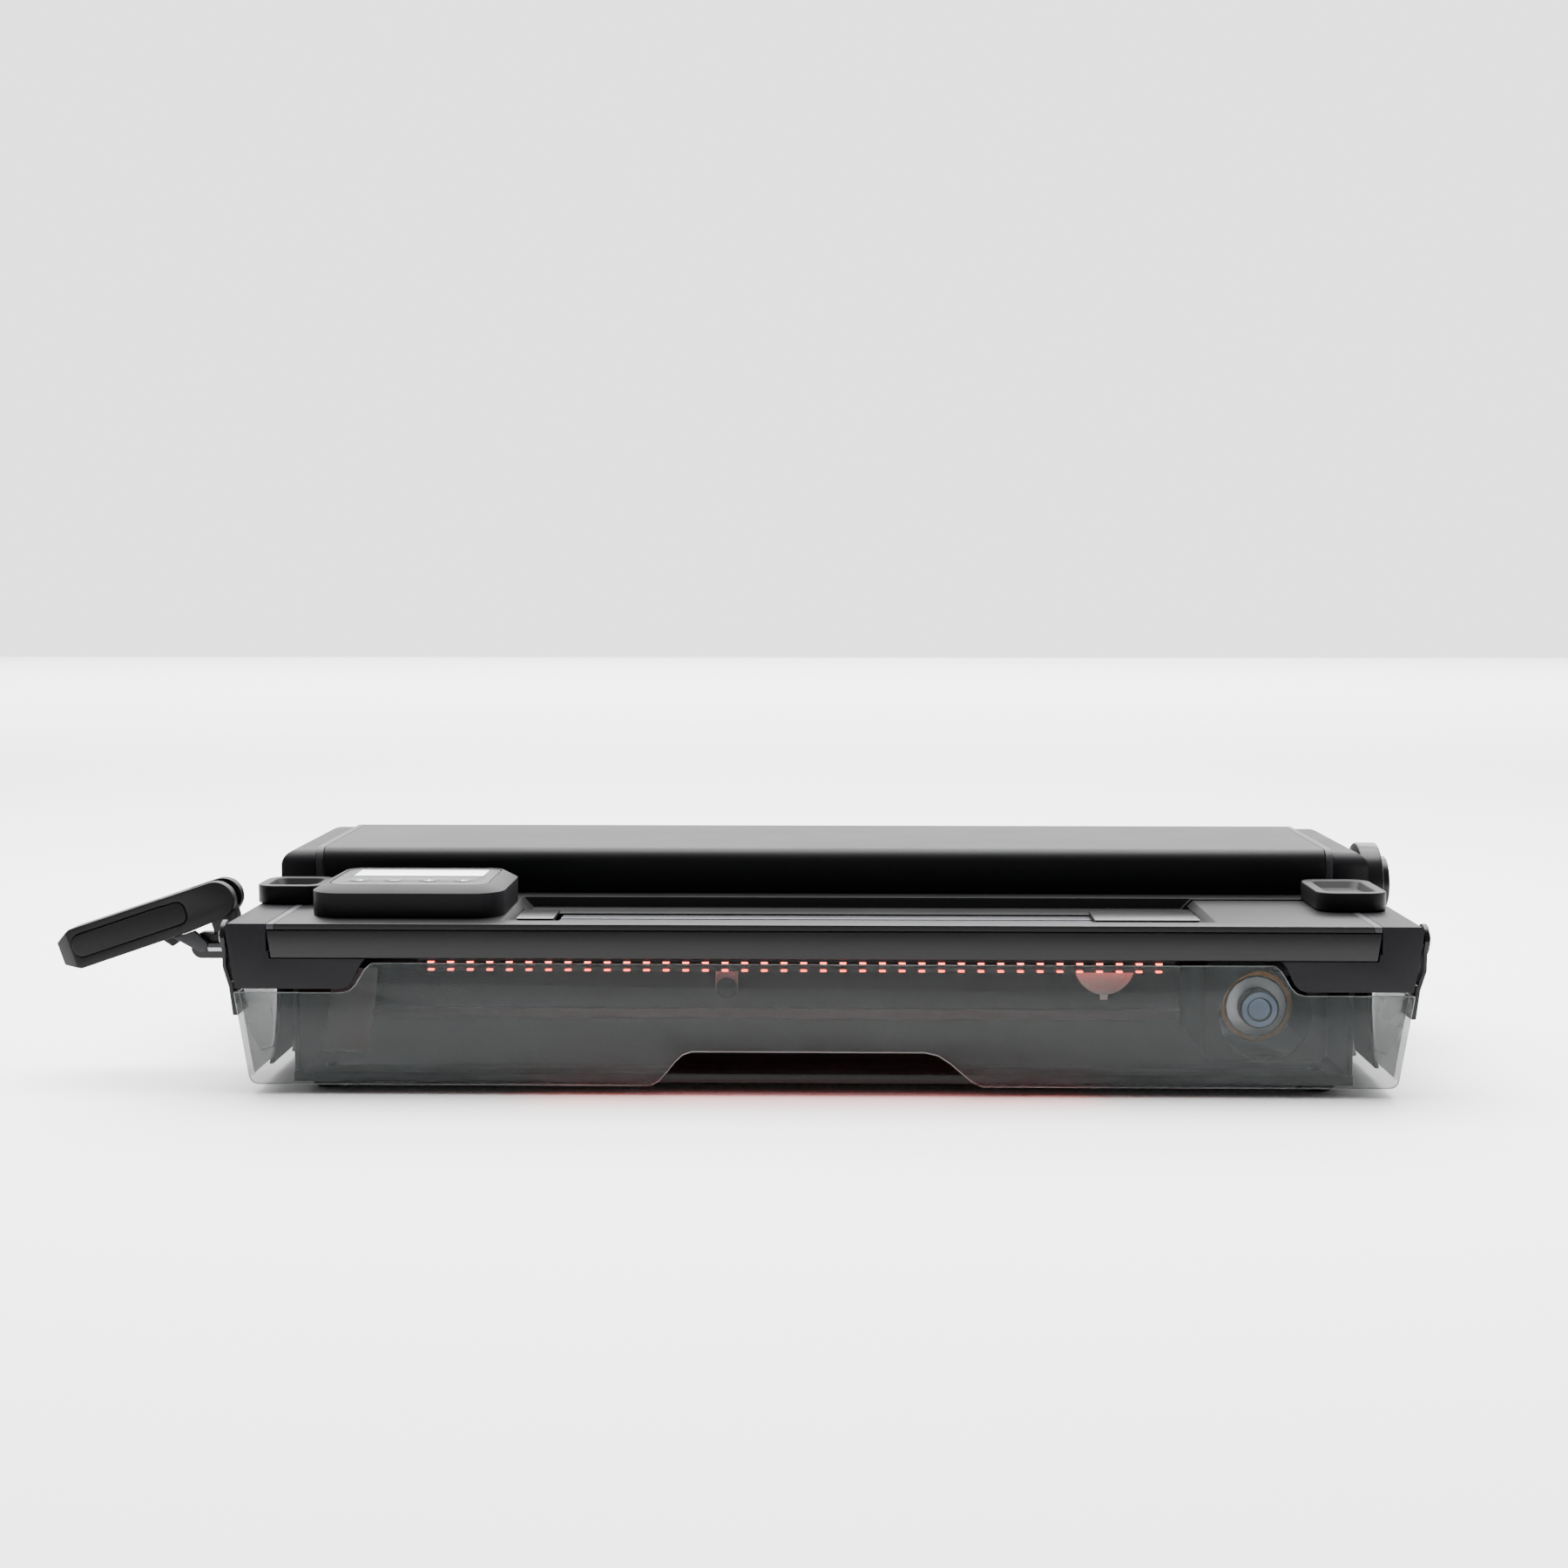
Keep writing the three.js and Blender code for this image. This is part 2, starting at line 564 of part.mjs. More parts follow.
const shrink = ([low, high], by) => [low + by, high - by];

function podPanel() {
  const inset = panelInset + gap;
  const y = shrink([pod.front, pod.back], inset);
  const plate = alongZ(roundedRect(shrink(podX, inset), y, 8.7), panelZ, 4);
  return carve(plate, box(display.x, display.y, [90, 120]), ...buttonHoles(90));
}

function displayWindow() {
  return box(shrink(display.x, gap), shrink(display.y, gap), panelZ);
}

// ---------- carriage ----------

function carriageHousing() {
  const { half, front, back, low, top, wall: t, window } = carriage;
  const x = [ringX - half, ringX + half];
  const block = alongY(roundedRect(x, [low, top], 4), [front, back], 3);
  const hollow = box(shrink(x, t), [front + t, back + 1], [low + t, top - t]);
  const topSlot = box([x[0] + 7, x[1] - 7], [52, 70], [top - 10, top + 1]);
  const opening = alongY(disc(ringX, ringZ, window), [front - 1, front + t + 1], 8);
  return carve(block, hollow, topSlot, opening);
}

// The beam rides on both rails, clamps the belt's lower run and carries the arm's fixed shaft.
function carriageBeam() {
  const x = [ringX - carriage.half + 3, ringX + carriage.half - 3];
  const bores = rails.y.map((y) => alongX(disc(y, rails.z, rails.r + gap), [x[0] - 1, x[1] + 1], 4));
  const runZ = belt.z - belt.r - belt.thick;
  const clampX = [ringX - 27, ringX - 3];
  const clampY = [156, belt.y + belt.wide + 1];
  return fuse(
    carve(box(x, [121.6, 156.4], [74, 90]), ...bores),
    box(x, [carriage.back + gap, 122.2], [14, 80]),
    box(clampX, [clampY[0], belt.y - 0.6], [runZ - 4, runZ + 4.6]),
    box(clampX, clampY, [runZ - 4, runZ - 0.6]),
    box(clampX, clampY, [runZ + 2.2, runZ + 4.6]),
    alongY(disc(armPivot.x, armPivot.z, armPivot.r), [71, 120], 4),
  );
}

function armPlate() {
  const { x, z, r } = armPivot;
  const plate = alongY(strap([ringX, ringZ], 18.5, [x, z], 6), [74, 79], 6);
  return carve(plate, alongY(disc(x, z, r + gap), [70, 82], 4), alongY(disc(ringX, ringZ, 3.5), [70, 82], 4));
}

function motorCase() {
  const can = alongY(disc(ringX, ringZ, 18.5), [79.3, 111], 6);
  return fuse(can, alongY(disc(ringX, ringZ, 7), [110.9, 114], 4));
}

function spindle() {
  const shaft = alongY(disc(ringX, ringZ, 3), [50, 79], 4);
  return fuse(shaft, alongY(disc(ringX, ringZ, 17), [57, 65], 8));
}

const grindingRing = () => alongY(washer(ringX, ringZ, ringR, 17.3), [58, 64], 8);

// The knurled nut has a small tooth at every other step round it.
function arborNut() {
  const teeth = 18;
  const points = [];
  for (let i = 0; i < 2 * teeth; i += 1) {
    const a = Math.PI * i / teeth;
    const r = i % 2 ? 10.3 : 11;
    points.push([ringX + r * Math.cos(a), ringZ + r * Math.sin(a)]);
  }
  return carve(alongY(outline(points), [47, 56.7]), alongY(disc(ringX, ringZ, 3 + gap), [49.5, 58], 4));
}

// A coil round the arm's shaft, which presses the ring up.
function armSpring() {
  class Coil extends THREE.Curve {
    getPoint(t, target = new THREE.Vector3()) {
      const a = 10 * Math.PI * t;
      return target.set(armPivot.x + 5 * Math.cos(a), 82 + 16 * t, armPivot.z + 5 * Math.sin(a));
    }
  }
  return new THREE.ExtrudeGeometry(disc(0, 0, 0.7),
    { steps: 45, extrudePath: new Coil(), curveSegments: 3, bevelEnabled: false });
}

const guideRail = (y) => alongX(disc(y, rails.z, rails.r), [-rails.end, rails.end], 4);

// ---------- drive, fan and electronics ----------

function beltLoop() {
  const { x, y, z, wide, r, thick } = belt;
  const outer = strap([-x, z], r + thick + 0.3, [x, z], r + thick + 0.3);
  outer.holes.push(strap([-x, z], r + 0.3, [x, z], r + 0.3));
  return alongY(outer, [y, y + wide], 6);
}

function pulleyRim(x) {
  const { y, z, wide, r } = belt;
  return fuse(
    alongY(disc(x, z, r), [y, y + wide], 6),
    alongY(disc(x, z, r + 3), [y + wide + 0.3, y + wide + 1.5], 6),
    alongY(disc(x, z, 5), [y - 1.2, y + wide + 1.5], 4),
  );
}

function idlerPulley() {
  const bore = alongY(disc(belt.x, belt.z, 2.4), [belt.y - 5, belt.y + 20], 4);
  return carve(pulleyRim(belt.x), bore);
}

function drivePulley() {
  const shaft = alongY(disc(-belt.x, belt.z, 2.2), [belt.y, motorY[0] - 0.4], 4);
  return fuse(pulleyRim(-belt.x), shaft);
}

// A bracket on the base's side wall that carries the idler's fixed axle.
function idlerBracket() {
  const { x, y, z } = belt;
  const arm = box([x - 6, 281], [y - 6, y - 2.2], [z - 7, z + 7]);
  return fuse(arm, alongY(disc(x, z, 2.1), [y - 4, y + belt.wide + 1], 4));
}

const motorY = [176, 212];

function traverseMotor() {
  const half = 17;
  const square = roundedRect([-belt.x - half, -belt.x + half], [belt.z - half, belt.z + half], 3);
  const shaftHole = alongY(disc(-belt.x, belt.z, 3), [motorY[0] - 1, motorY[0] + 2], 4);
  return carve(alongY(square, motorY, 2), shaftHole);
}

const fan = { x: [256, 274], y: 200, z: 85, half: 27.5, bore: 25 };

function fanFrame() {
  const { x, y, z, half, bore } = fan;
  const block = alongX(roundedRect([y - half, y + half], [z - half, z + half], 4), x, 2);
  const ring = carve(block, alongX(disc(y, z, bore), [x[0] - 1, x[1] + 1], 6));
  const spokes = [0, 1].map((i) => new THREE.BoxGeometry(1.6, 2 * bore + 2, 3)
    .rotateX(Math.PI * (i + 0.5) / 2).translate(x[0] + 1.2, y, z));
  return fuse(ring, ...spokes);
}

function fanRotor() {
  const { x, y, z, bore } = fan;
  const hub = alongX(disc(y, z, 10), [x[0] + 3, x[1] - 2], 5);
  const count = 7;
  const blades = [];
  for (let i = 0; i < count; i += 1) {
    const blade = new THREE.BoxGeometry(10, 1.6, bore - 10).rotateZ(0.6).translate(0, 0, bore / 2 + 2.9);
    blades.push(blade.rotateX(2 * Math.PI * i / count).translate((x[0] + x[1]) / 2 + 1, y, z));
  }
  return fuse(hub, ...blades);
}

function outletPort() {
  const { y, z, r, innerR, step, end } = port;
  return fuse(
    alongX(disc(y, z, 18), [307, 319.2], 6),
    alongX(disc(y, z, r), [capSide.top + gap, step], 7),
    alongX(disc(y, z, innerR), [step - 1, end], 6),
  );
}

function mainBoard() {
  const chips = [[-70, 180, 18, 14, 3], [-30, 190, 24, 24, 4], [20, 178, 20, 12, 9], [30, 212, 16, 16, 12]];
  const board = box([-90, 60], [170, 236], [18, 19.6]);
  return fuse(board, ...chips.map(([x, y, w, d, h]) => box([x, x + w], [y, y + d], [19, 19.6 + h])));
}

const inlet = { x: [-253, -225], z: [18, 38] };
const rocker = { x: [-214, -200], z: [17, 39] };

function powerInlet() {
  const x = shrink(inlet.x, gap);
  const z = shrink(inlet.z, gap);
  const socket = box(shrink(x, 3), [bodyDepth - 13, bodyDepth + 2], shrink(z, 3));
  const pins = [-6, 0, 6].map((dx, i) => {
    const middle = (x[0] + x[1]) / 2 + dx;
    const height = (z[0] + z[1]) / 2 + (i === 1 ? 3 : -2);
    return box([middle - 1, middle + 1], [bodyDepth - 14, bodyDepth - 4], [height - 2, height + 2]);
  });
  return fuse(carve(box(x, [bodyDepth - 24, bodyDepth + 0.5], z), socket), ...pins);
}

function switchFrame() {
  const frame = box(shrink(rocker.x, gap), [bodyDepth - 16, bodyDepth + 0.5], shrink(rocker.z, gap));
  return carve(frame, box(shrink(rocker.x, 2), [bodyDepth - 12, bodyDepth + 2], shrink(rocker.z, 2)));
}

// The rocker turns on a level axis along X, and stands proud at its lower end when off.
function rockerPaddle() {
  const middle = (rocker.z[0] + rocker.z[1]) / 2;
  const half = 7.2;
  return alongX(outline([
    [bodyDepth - 8, middle - half], [bodyDepth + 1.6, middle - half], [bodyDepth - 1, middle],
    [bodyDepth - 0.6, middle + half], [bodyDepth - 8, middle + half],
  ]), shrink(rocker.x, 2.6));
}

function ledStrip() {
  const count = 38;
  const pitch = 10.5;
  const first = -209;
  const board = box([-216, 188], [5.5, 13.5], [71.2, 73]);
  const leds = [];
  for (let i = 0; i < count; i += 1) {
    const x = first + pitch * i;
    leds.push(box([x - 2.5, x + 2.5], [8, 11], [69.8, 71.5]));
  }
  return fuse(board, ...leds);
}

function sensorDisc() {
  const round = alongY(disc(152, 68.3, 16.2), [18, 21], 8);
  const stem = box([150, 154], [19, 21], [49, 55]);
  return carve(fuse(round, stem), box([130, 175], [10, 30], [recess.floor - wall - gap, 90]));
}

const flag = { x: [-57, -45], y: [14.5, 17.5], z: [54, 82.6], tipR: 4 };

function interlockFlag() {
  const tip = alongY(disc((flag.x[0] + flag.x[1]) / 2, flag.z[0], flag.tipR), flag.y, 5);
  return fuse(box(flag.x, flag.y, flag.z), tip);
}

const screwPlaces = [[-240, 12], [0, 12], [240, 12], [-120, 236], [120, 236]];
const screwSeat = { r: 4, deep: 3 };

const foot = [[0, 0], [8.5, 0], [10, 1.5], [10, 5.7], [3.2, 5.7], [3.2, 10], [0, 10]];

function addFeet() {
  const profile = foot.map(([r, z]) => new THREE.Vector2(r, z));
  for (const [i, name] of ['front_left', 'front_right', 'rear_left', 'rear_right'].entries()) {
    const [x, y] = footPlaces[i];
    const piece = new THREE.LatheGeometry(profile, 16).rotateX(Math.PI / 2);
    part(`${name}_foot`, piece, 'rubber').position.set(x, y, 0);
  }
}

// ---------- assembly ----------

function addHousing() {
  const portHole = alongX(disc(port.y, port.z, 18 + gap), [300, 325], 6);
  const rodHole = alongX(disc(clampRod.y, clampRod.z, clampRod.r + 0.6), [-325, -305], 4);
  const cap = endCap();
  part('base_tray', baseTray(), 'deepBlack');
  addFeet();
  part('right_end_cap', carve(cap, portHole), 'charcoal');
  part('left_end_cap', carve(mirrored(cap), rodHole), 'charcoal');
  part('rear_cover', alongX(coverShape(deckZ + gap, coverBackFoot), [-coverX, coverX]), 'satinBlack');
  part('right_trim_strip', rightTrimStrip(), 'trimGrey');
  part('left_trim_strip', mirrored(trimStrip()), 'trimGrey');
  part('deck_panel', deckPanel(), 'satinBlack');
  part('front_fascia', fasciaPanel(), 'deepBlack');
  part('outlet_port', outletPort(), 'deepBlack');
}

function addSlotCovers() {
  part('right_slot_cover', slotCover(150, gripX.right), 'deepBlack');
  part('right_grip', gripPad(gripX.right, grip.front), 'satinBlack');
  part('left_slot_cover', mirrored(slotCover(148, -gripX.left)), 'deepBlack');
  part('left_grip', gripPad(gripX.left, leftGripFront), 'satinBlack');
}

function addDoor() {
  part('front_door', doorPanel(), 'smokeClear');
  part('right_door_arm', doorArm(), 'deepBlack');
  part('left_door_arm', mirrored(doorArm()), 'deepBlack');
  part('right_door_pin', doorPin(), 'steel');
  part('left_door_pin', mirrored(doorPin()), 'steel');
}

function addClamp() {
  const handle = new THREE.Group();
  handle.position.set(lever.x, lever.y, lever.z);
  handle.rotation.y = -THREE.MathUtils.degToRad(lever.tilt);
  machine.add(handle);
  part('lever_handle', leverHandle(), 'satinBlack', handle);
  part('lever_cam', leverCam(), 'trimGrey', handle);
  part('lever_pin', leverPin(), 'steel', handle);
  part('lever_bracket', leverBracket(), 'deepBlack');
  part('clamp_rod', clampRodPiece(), 'steel');
  part('moving_jaw', movingJaw(), 'aluminium');
  part('fixed_jaw', fixedJaw(), 'aluminium');
}

function addPod() {
  part('pod_housing', podHousing(), 'charcoal');
  part('pod_panel', podPanel(), 'deepBlack');
  part('display_window', displayWindow(), 'display');
  for (const [i, name] of ['button_back', 'button_less', 'button_more', 'button_start'].entries()) {
    const piece = alongZ(disc(buttonXs[i], button.y, button.r - 0.2), [button.low, button.top], 5);
    part(name, piece, 'deepBlack');
  }
}

function addCarriage() {
  part('carriage_housing', carriageHousing(), 'satinBlack');
  part('carriage_beam', carriageBeam(), 'aluminium');
  part('arm_plate', armPlate(), 'aluminium');
  part('grinding_motor', motorCase(), 'deepBlack');
  part('arm_spring', armSpring(), 'steel');
  part('spindle', spindle(), 'aluminium');
  part('grinding_ring', grindingRing(), 'abrasive');
  part('arbor_nut', arborNut(), 'blueSteel');
}

function addDrive() {
  part('front_rail', guideRail(rails.y[0]), 'steel');
  part('rear_rail', guideRail(rails.y[1]), 'steel');
  part('drive_belt', beltLoop(), 'rubber');
  part('drive_pulley', drivePulley(), 'aluminium');
  part('idler_pulley', idlerPulley(), 'aluminium');
  part('traverse_motor', traverseMotor(), 'deepBlack');
}

function addElectrics() {
  part('fan_frame', fanFrame(), 'deepBlack');
  part('fan_rotor', fanRotor(), 'satinBlack');
  part('main_board', mainBoard(), 'boardGreen');
  part('power_supply', alongZ(roundedRect([-200, -100], [172, 236], 3), [14, 52], 2), 'aluminium');
  part('power_inlet', powerInlet(), 'deepBlack');
  part('switch_frame', switchFrame(), 'deepBlack');
  part('switch_rocker', rockerPaddle(), 'satinBlack');
  part('led_strip', ledStrip(), 'redGlow');
  part('sensor_disc', sensorDisc(), 'paleDisc');
  part('interlock_flag', interlockFlag(), 'clear');
}

addHousing();
addSlotCovers();
addDoor();
addClamp();
addPod();
addCarriage();
addDrive();
addElectrics();

// The origin goes under the middle of the whole machine.
machine.updateMatrixWorld(true);
const bounds = new THREE.Box3().setFromObject(machine, true);
machine.position.set(-(bounds.min.x + bounds.max.x) / 2, -(bounds.min.y + bounds.max.y) / 2, 0);

export default machine;
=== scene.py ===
import json
import math

import bmesh
import bpy
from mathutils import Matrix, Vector


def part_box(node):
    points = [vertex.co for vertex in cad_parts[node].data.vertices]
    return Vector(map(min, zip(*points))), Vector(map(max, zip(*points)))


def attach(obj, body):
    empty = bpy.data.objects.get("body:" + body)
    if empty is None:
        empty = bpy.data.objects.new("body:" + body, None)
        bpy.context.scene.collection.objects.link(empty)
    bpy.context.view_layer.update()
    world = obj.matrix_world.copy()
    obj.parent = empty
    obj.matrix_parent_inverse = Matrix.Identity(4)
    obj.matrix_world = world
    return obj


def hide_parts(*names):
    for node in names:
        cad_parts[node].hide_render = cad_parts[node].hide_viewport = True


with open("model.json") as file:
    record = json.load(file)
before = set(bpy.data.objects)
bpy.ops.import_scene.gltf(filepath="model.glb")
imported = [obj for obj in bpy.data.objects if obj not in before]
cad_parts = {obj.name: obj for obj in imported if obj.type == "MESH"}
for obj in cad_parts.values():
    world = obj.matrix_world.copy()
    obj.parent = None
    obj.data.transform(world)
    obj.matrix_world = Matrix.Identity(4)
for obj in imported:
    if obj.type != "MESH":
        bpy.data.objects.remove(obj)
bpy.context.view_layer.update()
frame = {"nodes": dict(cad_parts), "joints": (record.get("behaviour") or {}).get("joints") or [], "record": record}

mm = 0.001
nodes = frame["nodes"]
bodyOf = {n: body for body, members in frame["record"]["behaviour"]["bodies"].items() for n in members}
slotOf = {row["node"]: row["material_slot"] for row in frame["record"]["subparts"]}
jointOf = {joint["name"]: joint for joint in frame["joints"]}
finishOf = {}  # material for each slot of the record, filled in below


def selectOnly(obj):
    bpy.ops.object.select_all(action="DESELECT")
    obj.select_set(True)
    bpy.context.view_layer.objects.active = obj


def applyPlace(obj):
    selectOnly(obj)
    bpy.ops.object.transform_apply(location=True, rotation=True, scale=True)


def applyModifiers(obj):
    selectOnly(obj)
    for modifier in list(obj.modifiers):
        bpy.ops.object.modifier_apply(modifier=modifier.name)


def startEdit(obj, kind="EDGE"):
    selectOnly(obj)
    bpy.ops.object.mode_set(mode="EDIT")
    bpy.ops.mesh.select_mode(type=kind)
    bpy.ops.mesh.select_all(action="DESELECT")


def endEdit():
    bpy.ops.object.mode_set(mode="OBJECT")


def pickEdges(obj, wanted):
    bpy.ops.mesh.select_all(action="DESELECT")
    mesh = bmesh.from_edit_mesh(obj.data)
    for edge in mesh.edges:
        if wanted(edge):
            edge.select_set(True)
    bmesh.update_edit_mesh(obj.data)


def pickFaces(obj, wanted):
    bpy.ops.mesh.select_mode(type="FACE")
    bpy.ops.mesh.select_all(action="DESELECT")
    mesh = bmesh.from_edit_mesh(obj.data)
    for face in mesh.faces:
        if wanted(face):
            face.select_set(True)
    bmesh.update_edit_mesh(obj.data)


def roundEdges(obj, width, segments=3, angle=30):
    bevel = obj.modifiers.new("roundEdges", "BEVEL")
    bevel.width = width * mm
    bevel.segments = segments
    bevel.limit_method = "ANGLE"
    bevel.angle_limit = math.radians(angle)
    applyModifiers(obj)
    smooth(obj)


def smooth(obj, angle=32):
    selectOnly(obj)
    bpy.ops.object.shade_smooth_by_angle(angle=math.radians(angle))


# Gives a finished piece its body and the material of its slot, and hides the CAD pieces that it stands for.
def settle(obj, body, slot, replaced=()):
    obj.data.materials.clear()
    obj.data.materials.append(finishOf[slot])
    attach(obj, body)
    if replaced:
        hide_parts(*replaced)
    return obj


def settleAs(obj, node):
    return settle(obj, bodyOf[node], slotOf[node], [node])


def block(name, low, high):
    bpy.ops.object.select_all(action="DESELECT")
    bpy.ops.mesh.primitive_cube_add(size=1, location=(Vector(low) + Vector(high)) / 2)
    obj = bpy.context.object
    obj.name = name
    obj.scale = Vector(high) - Vector(low)
    applyPlace(obj)
    return obj


# A block whose four edges along one axis are rounded, the upright ones if no axis is given.
def roundedBlock(name, low, high, corner, segments=10, axis="Z"):
    obj = block(name, low, high)
    startEdit(obj)
    pickEdges(obj, lambda edge: runsAlong(edge, axis))
    bpy.ops.mesh.bevel(offset=corner * mm, segments=segments, affect="EDGES")
    endEdit()
    return obj


def runsAlong(edge, axis):
    direction = (edge.verts[0].co - edge.verts[1].co).normalized()
    return abs(direction["XYZ".index(axis)]) > 0.99


# turns that lay a piece made along Z on another axis; the one for Y runs towards the front
turnsTo = {"X": (0, math.pi / 2, 0), "Y": (math.pi / 2, 0, 0), "Z": (0, 0, 0)}


# A round piece from its radius and distance along the axis at each step, in mm.
# A closed profile, whose last step is its first, leaves a hole.
def turned(name, profile, place, axis="Z", sides=64):
    closed = profile[0] == profile[-1]
    bpy.ops.object.select_all(action="DESELECT")
    fill = "NOTHING" if closed else "NGON"
    bpy.ops.mesh.primitive_circle_add(vertices=sides, radius=profile[0][0] * mm, fill_type=fill)
    obj = bpy.context.object
    obj.name = name
    bpy.ops.object.mode_set(mode="EDIT")
    bpy.ops.mesh.select_all(action="SELECT")
    bpy.ops.transform.translate(value=(0, 0, profile[0][1] * mm))
    for (r0, z0), (r1, z1) in zip(profile, profile[1:]):
        bpy.ops.mesh.extrude_region_move(TRANSFORM_OT_translate={"value": (0, 0, (z1 - z0) * mm)})
        share = r1 / r0
        bpy.ops.transform.resize(value=(share, share, 1), center_override=(0, 0, z1 * mm))
    bpy.ops.mesh.select_all(action="SELECT")
    bpy.ops.mesh.remove_doubles(threshold=0.001 * mm)
    bpy.ops.mesh.normals_make_consistent(inside=False)
    endEdit()
    obj.rotation_euler = turnsTo[axis]
    obj.location = place
    applyPlace(obj)
    return obj


def cutAway(obj, cutters):
    for cutter in cutters:
        modifier = obj.modifiers.new("cut", "BOOLEAN")
        modifier.operation = "DIFFERENCE"
        modifier.solver = "EXACT"
        modifier.object = cutter
        applyModifiers(obj)
        bpy.data.objects.remove(cutter)


def joinAll(pieces, name):
    selectOnly(pieces[0])
    for piece in pieces:
        piece.select_set(True)
    bpy.ops.object.join()
    pieces[0].name = name
    return pieces[0]


# materials

def toLinear(hexColour):
    parts = [int(hexColour[i:i + 2], 16) / 255 for i in (1, 3, 5)]
    return [p / 12.92 if p <= 0.04045 else ((p + 0.055) / 1.055) ** 2.4 for p in parts] + [1]


def addNode(tree, kind, settings=None, links=None):
    node = tree.nodes.new(kind)
    for key, value in (settings or {}).items():
        if isinstance(key, int) or key in node.inputs:
            node.inputs[key].default_value = value
        else:
            setattr(node, key, value)
    for key, source in (links or {}).items():
        tree.links.new(source, node.inputs[key])
    return node


def newMaterial(name, settings):
    material = bpy.data.materials.new(name)
    material.use_nodes = True
    tree = material.node_tree
    shader = tree.nodes["Principled BSDF"]
    for key, value in settings.items():
        shader.inputs[key].default_value = value
    coords = addNode(tree, "ShaderNodeTexCoord").outputs["Object"]
    return material, tree, shader, coords


# Moulded plastics: the etched tool leaves a fine grain, and handling leaves soft patches of gloss.
# The real grain is 0.1 mm or less, so it is drawn as coarse as it needs to show. The sheen is set under that
# of real plastic, so that the dark pieces stay dark beside a bright floor.
plastics = {
    "satin_abs": {
        "name": "satinEtchedAbs", "colour": "#0c0c0d", "other": "#101011",
        "rough": (0.42, 0.52), "grainMm": 0.6, "depthMm": 0.012, "sheen": 0.15},
    "charcoal_abs": {
        "name": "sparkErodedAbs", "colour": "#111013", "other": "#151417",
        "rough": (0.46, 0.58), "grainMm": 0.8, "depthMm": 0.02, "sheen": 0.15},
    "black_abs": {
        "name": "polishedBlackAbs", "colour": "#0a0a0b", "other": "#0f0f10",
        "rough": (0.26, 0.36), "grainMm": 0.5, "depthMm": 0.006, "sheen": 0.24},
    "trim_grey": {
        "name": "satinGreyAbs", "colour": "#2a2a2d", "other": "#323235",
        "rough": (0.4, 0.5), "grainMm": 0.6, "depthMm": 0.01, "sheen": 0.2},
    "rubber": {
        "name": "mouldedNitrileRubber", "colour": "#0e0e0e", "other": "#161515",
        "rough": (0.7, 0.88), "grainMm": 0.8, "depthMm": 0.03, "sheen": 0.2},
    "board_green": {
        "name": "solderMaskedGlassEpoxy", "colour": "#12402a", "other": "#1c5a38",
        "rough": (0.3, 0.45), "grainMm": 1.6, "depthMm": 0.02, "sheen": 0.4},
    "liner": {
        "name": "lightGreyPolypropylene", "colour": "#7c8181", "other": "#8a8f8f",
        "rough": (0.35, 0.5), "grainMm": 0.8, "depthMm": 0.015, "sheen": 0.4},
}
patchMm = 45  # size of the soft patches of gloss


def plastic(look):
    settings = {"IOR": 1.46, "Specular IOR Level": look["sheen"]}
    material, tree, shader, coords = newMaterial(look["name"], settings)
    patches = addNode(tree, "ShaderNodeTexNoise", {"Scale": 1 / (patchMm * mm), "Detail": 3},
                      {"Vector": coords})
    grain = addNode(tree, "ShaderNodeTexNoise", {"Scale": 1 / (look["grainMm"] * mm), "Detail": 2},
                    {"Vector": coords})
    colour = addNode(tree, "ShaderNodeMix", {"data_type": "RGBA", 6: toLinear(look["colour"]),
                                             7: toLinear(look["other"])}, {0: patches.outputs["Fac"]})
    rough = addNode(tree, "ShaderNodeMapRange", {"To Min": look["rough"][0], "To Max": look["rough"][1]},
                    {"Value": patches.outputs["Fac"]})
    bump = addNode(tree, "ShaderNodeBump", {"Strength": 0.35, "Distance": look["depthMm"] * mm},
                   {"Height": grain.outputs["Fac"]})
    tree.links.new(colour.outputs[2], shader.inputs["Base Color"])
    tree.links.new(rough.outputs["Result"], shader.inputs["Roughness"])
    tree.links.new(bump.outputs["Normal"], shader.inputs["Normal"])
    return material


# Metals: the cutting tool or belt leaves fine lines along X, which spread the highlights.
metals = {
    "steel": {"name": "groundSteel", "colour": "#9b9da0", "rough": (0.18, 0.3), "lineMm": 0.5,
              "depthMm": 0.006},
    "blue_steel": {"name": "bluedKnurledSteel", "colour": "#6d7c90", "rough": (0.3, 0.42), "lineMm": 0.8,
                   "depthMm": 0.02},
    "aluminium": {"name": "machinedAluminium", "colour": "#b3b5b8", "rough": (0.28, 0.42), "lineMm": 0.6,
                  "depthMm": 0.01},
    "dark_anodised": {"name": "darkHardAnodisedAluminium", "colour": "#3c3c40", "rough": (0.34, 0.46),
                      "lineMm": 0.6, "depthMm": 0.008},
}
lineStretch = 40  # how much longer than wide a machining line is


def metal(look):
    settings = {"Metallic": 1, "Base Color": toLinear(look["colour"])}
    material, tree, shader, coords = newMaterial(look["name"], settings)
    stretched = addNode(tree, "ShaderNodeMapping", {"Scale": (1 / lineStretch, 1, 1)}, {"Vector": coords})
    lines = addNode(tree, "ShaderNodeTexNoise", {"Scale": 1 / (look["lineMm"] * mm), "Detail": 4},
                    {"Vector": stretched.outputs["Vector"]})
    rough = addNode(tree, "ShaderNodeMapRange", {"To Min": look["rough"][0], "To Max": look["rough"][1]},
                    {"Value": lines.outputs["Fac"]})
    bump = addNode(tree, "ShaderNodeBump", {"Strength": 0.4, "Distance": look["depthMm"] * mm},
                   {"Height": lines.outputs["Fac"]})
    tree.links.new(rough.outputs["Result"], shader.inputs["Roughness"])
    tree.links.new(bump.outputs["Normal"], shader.inputs["Normal"])
    return material


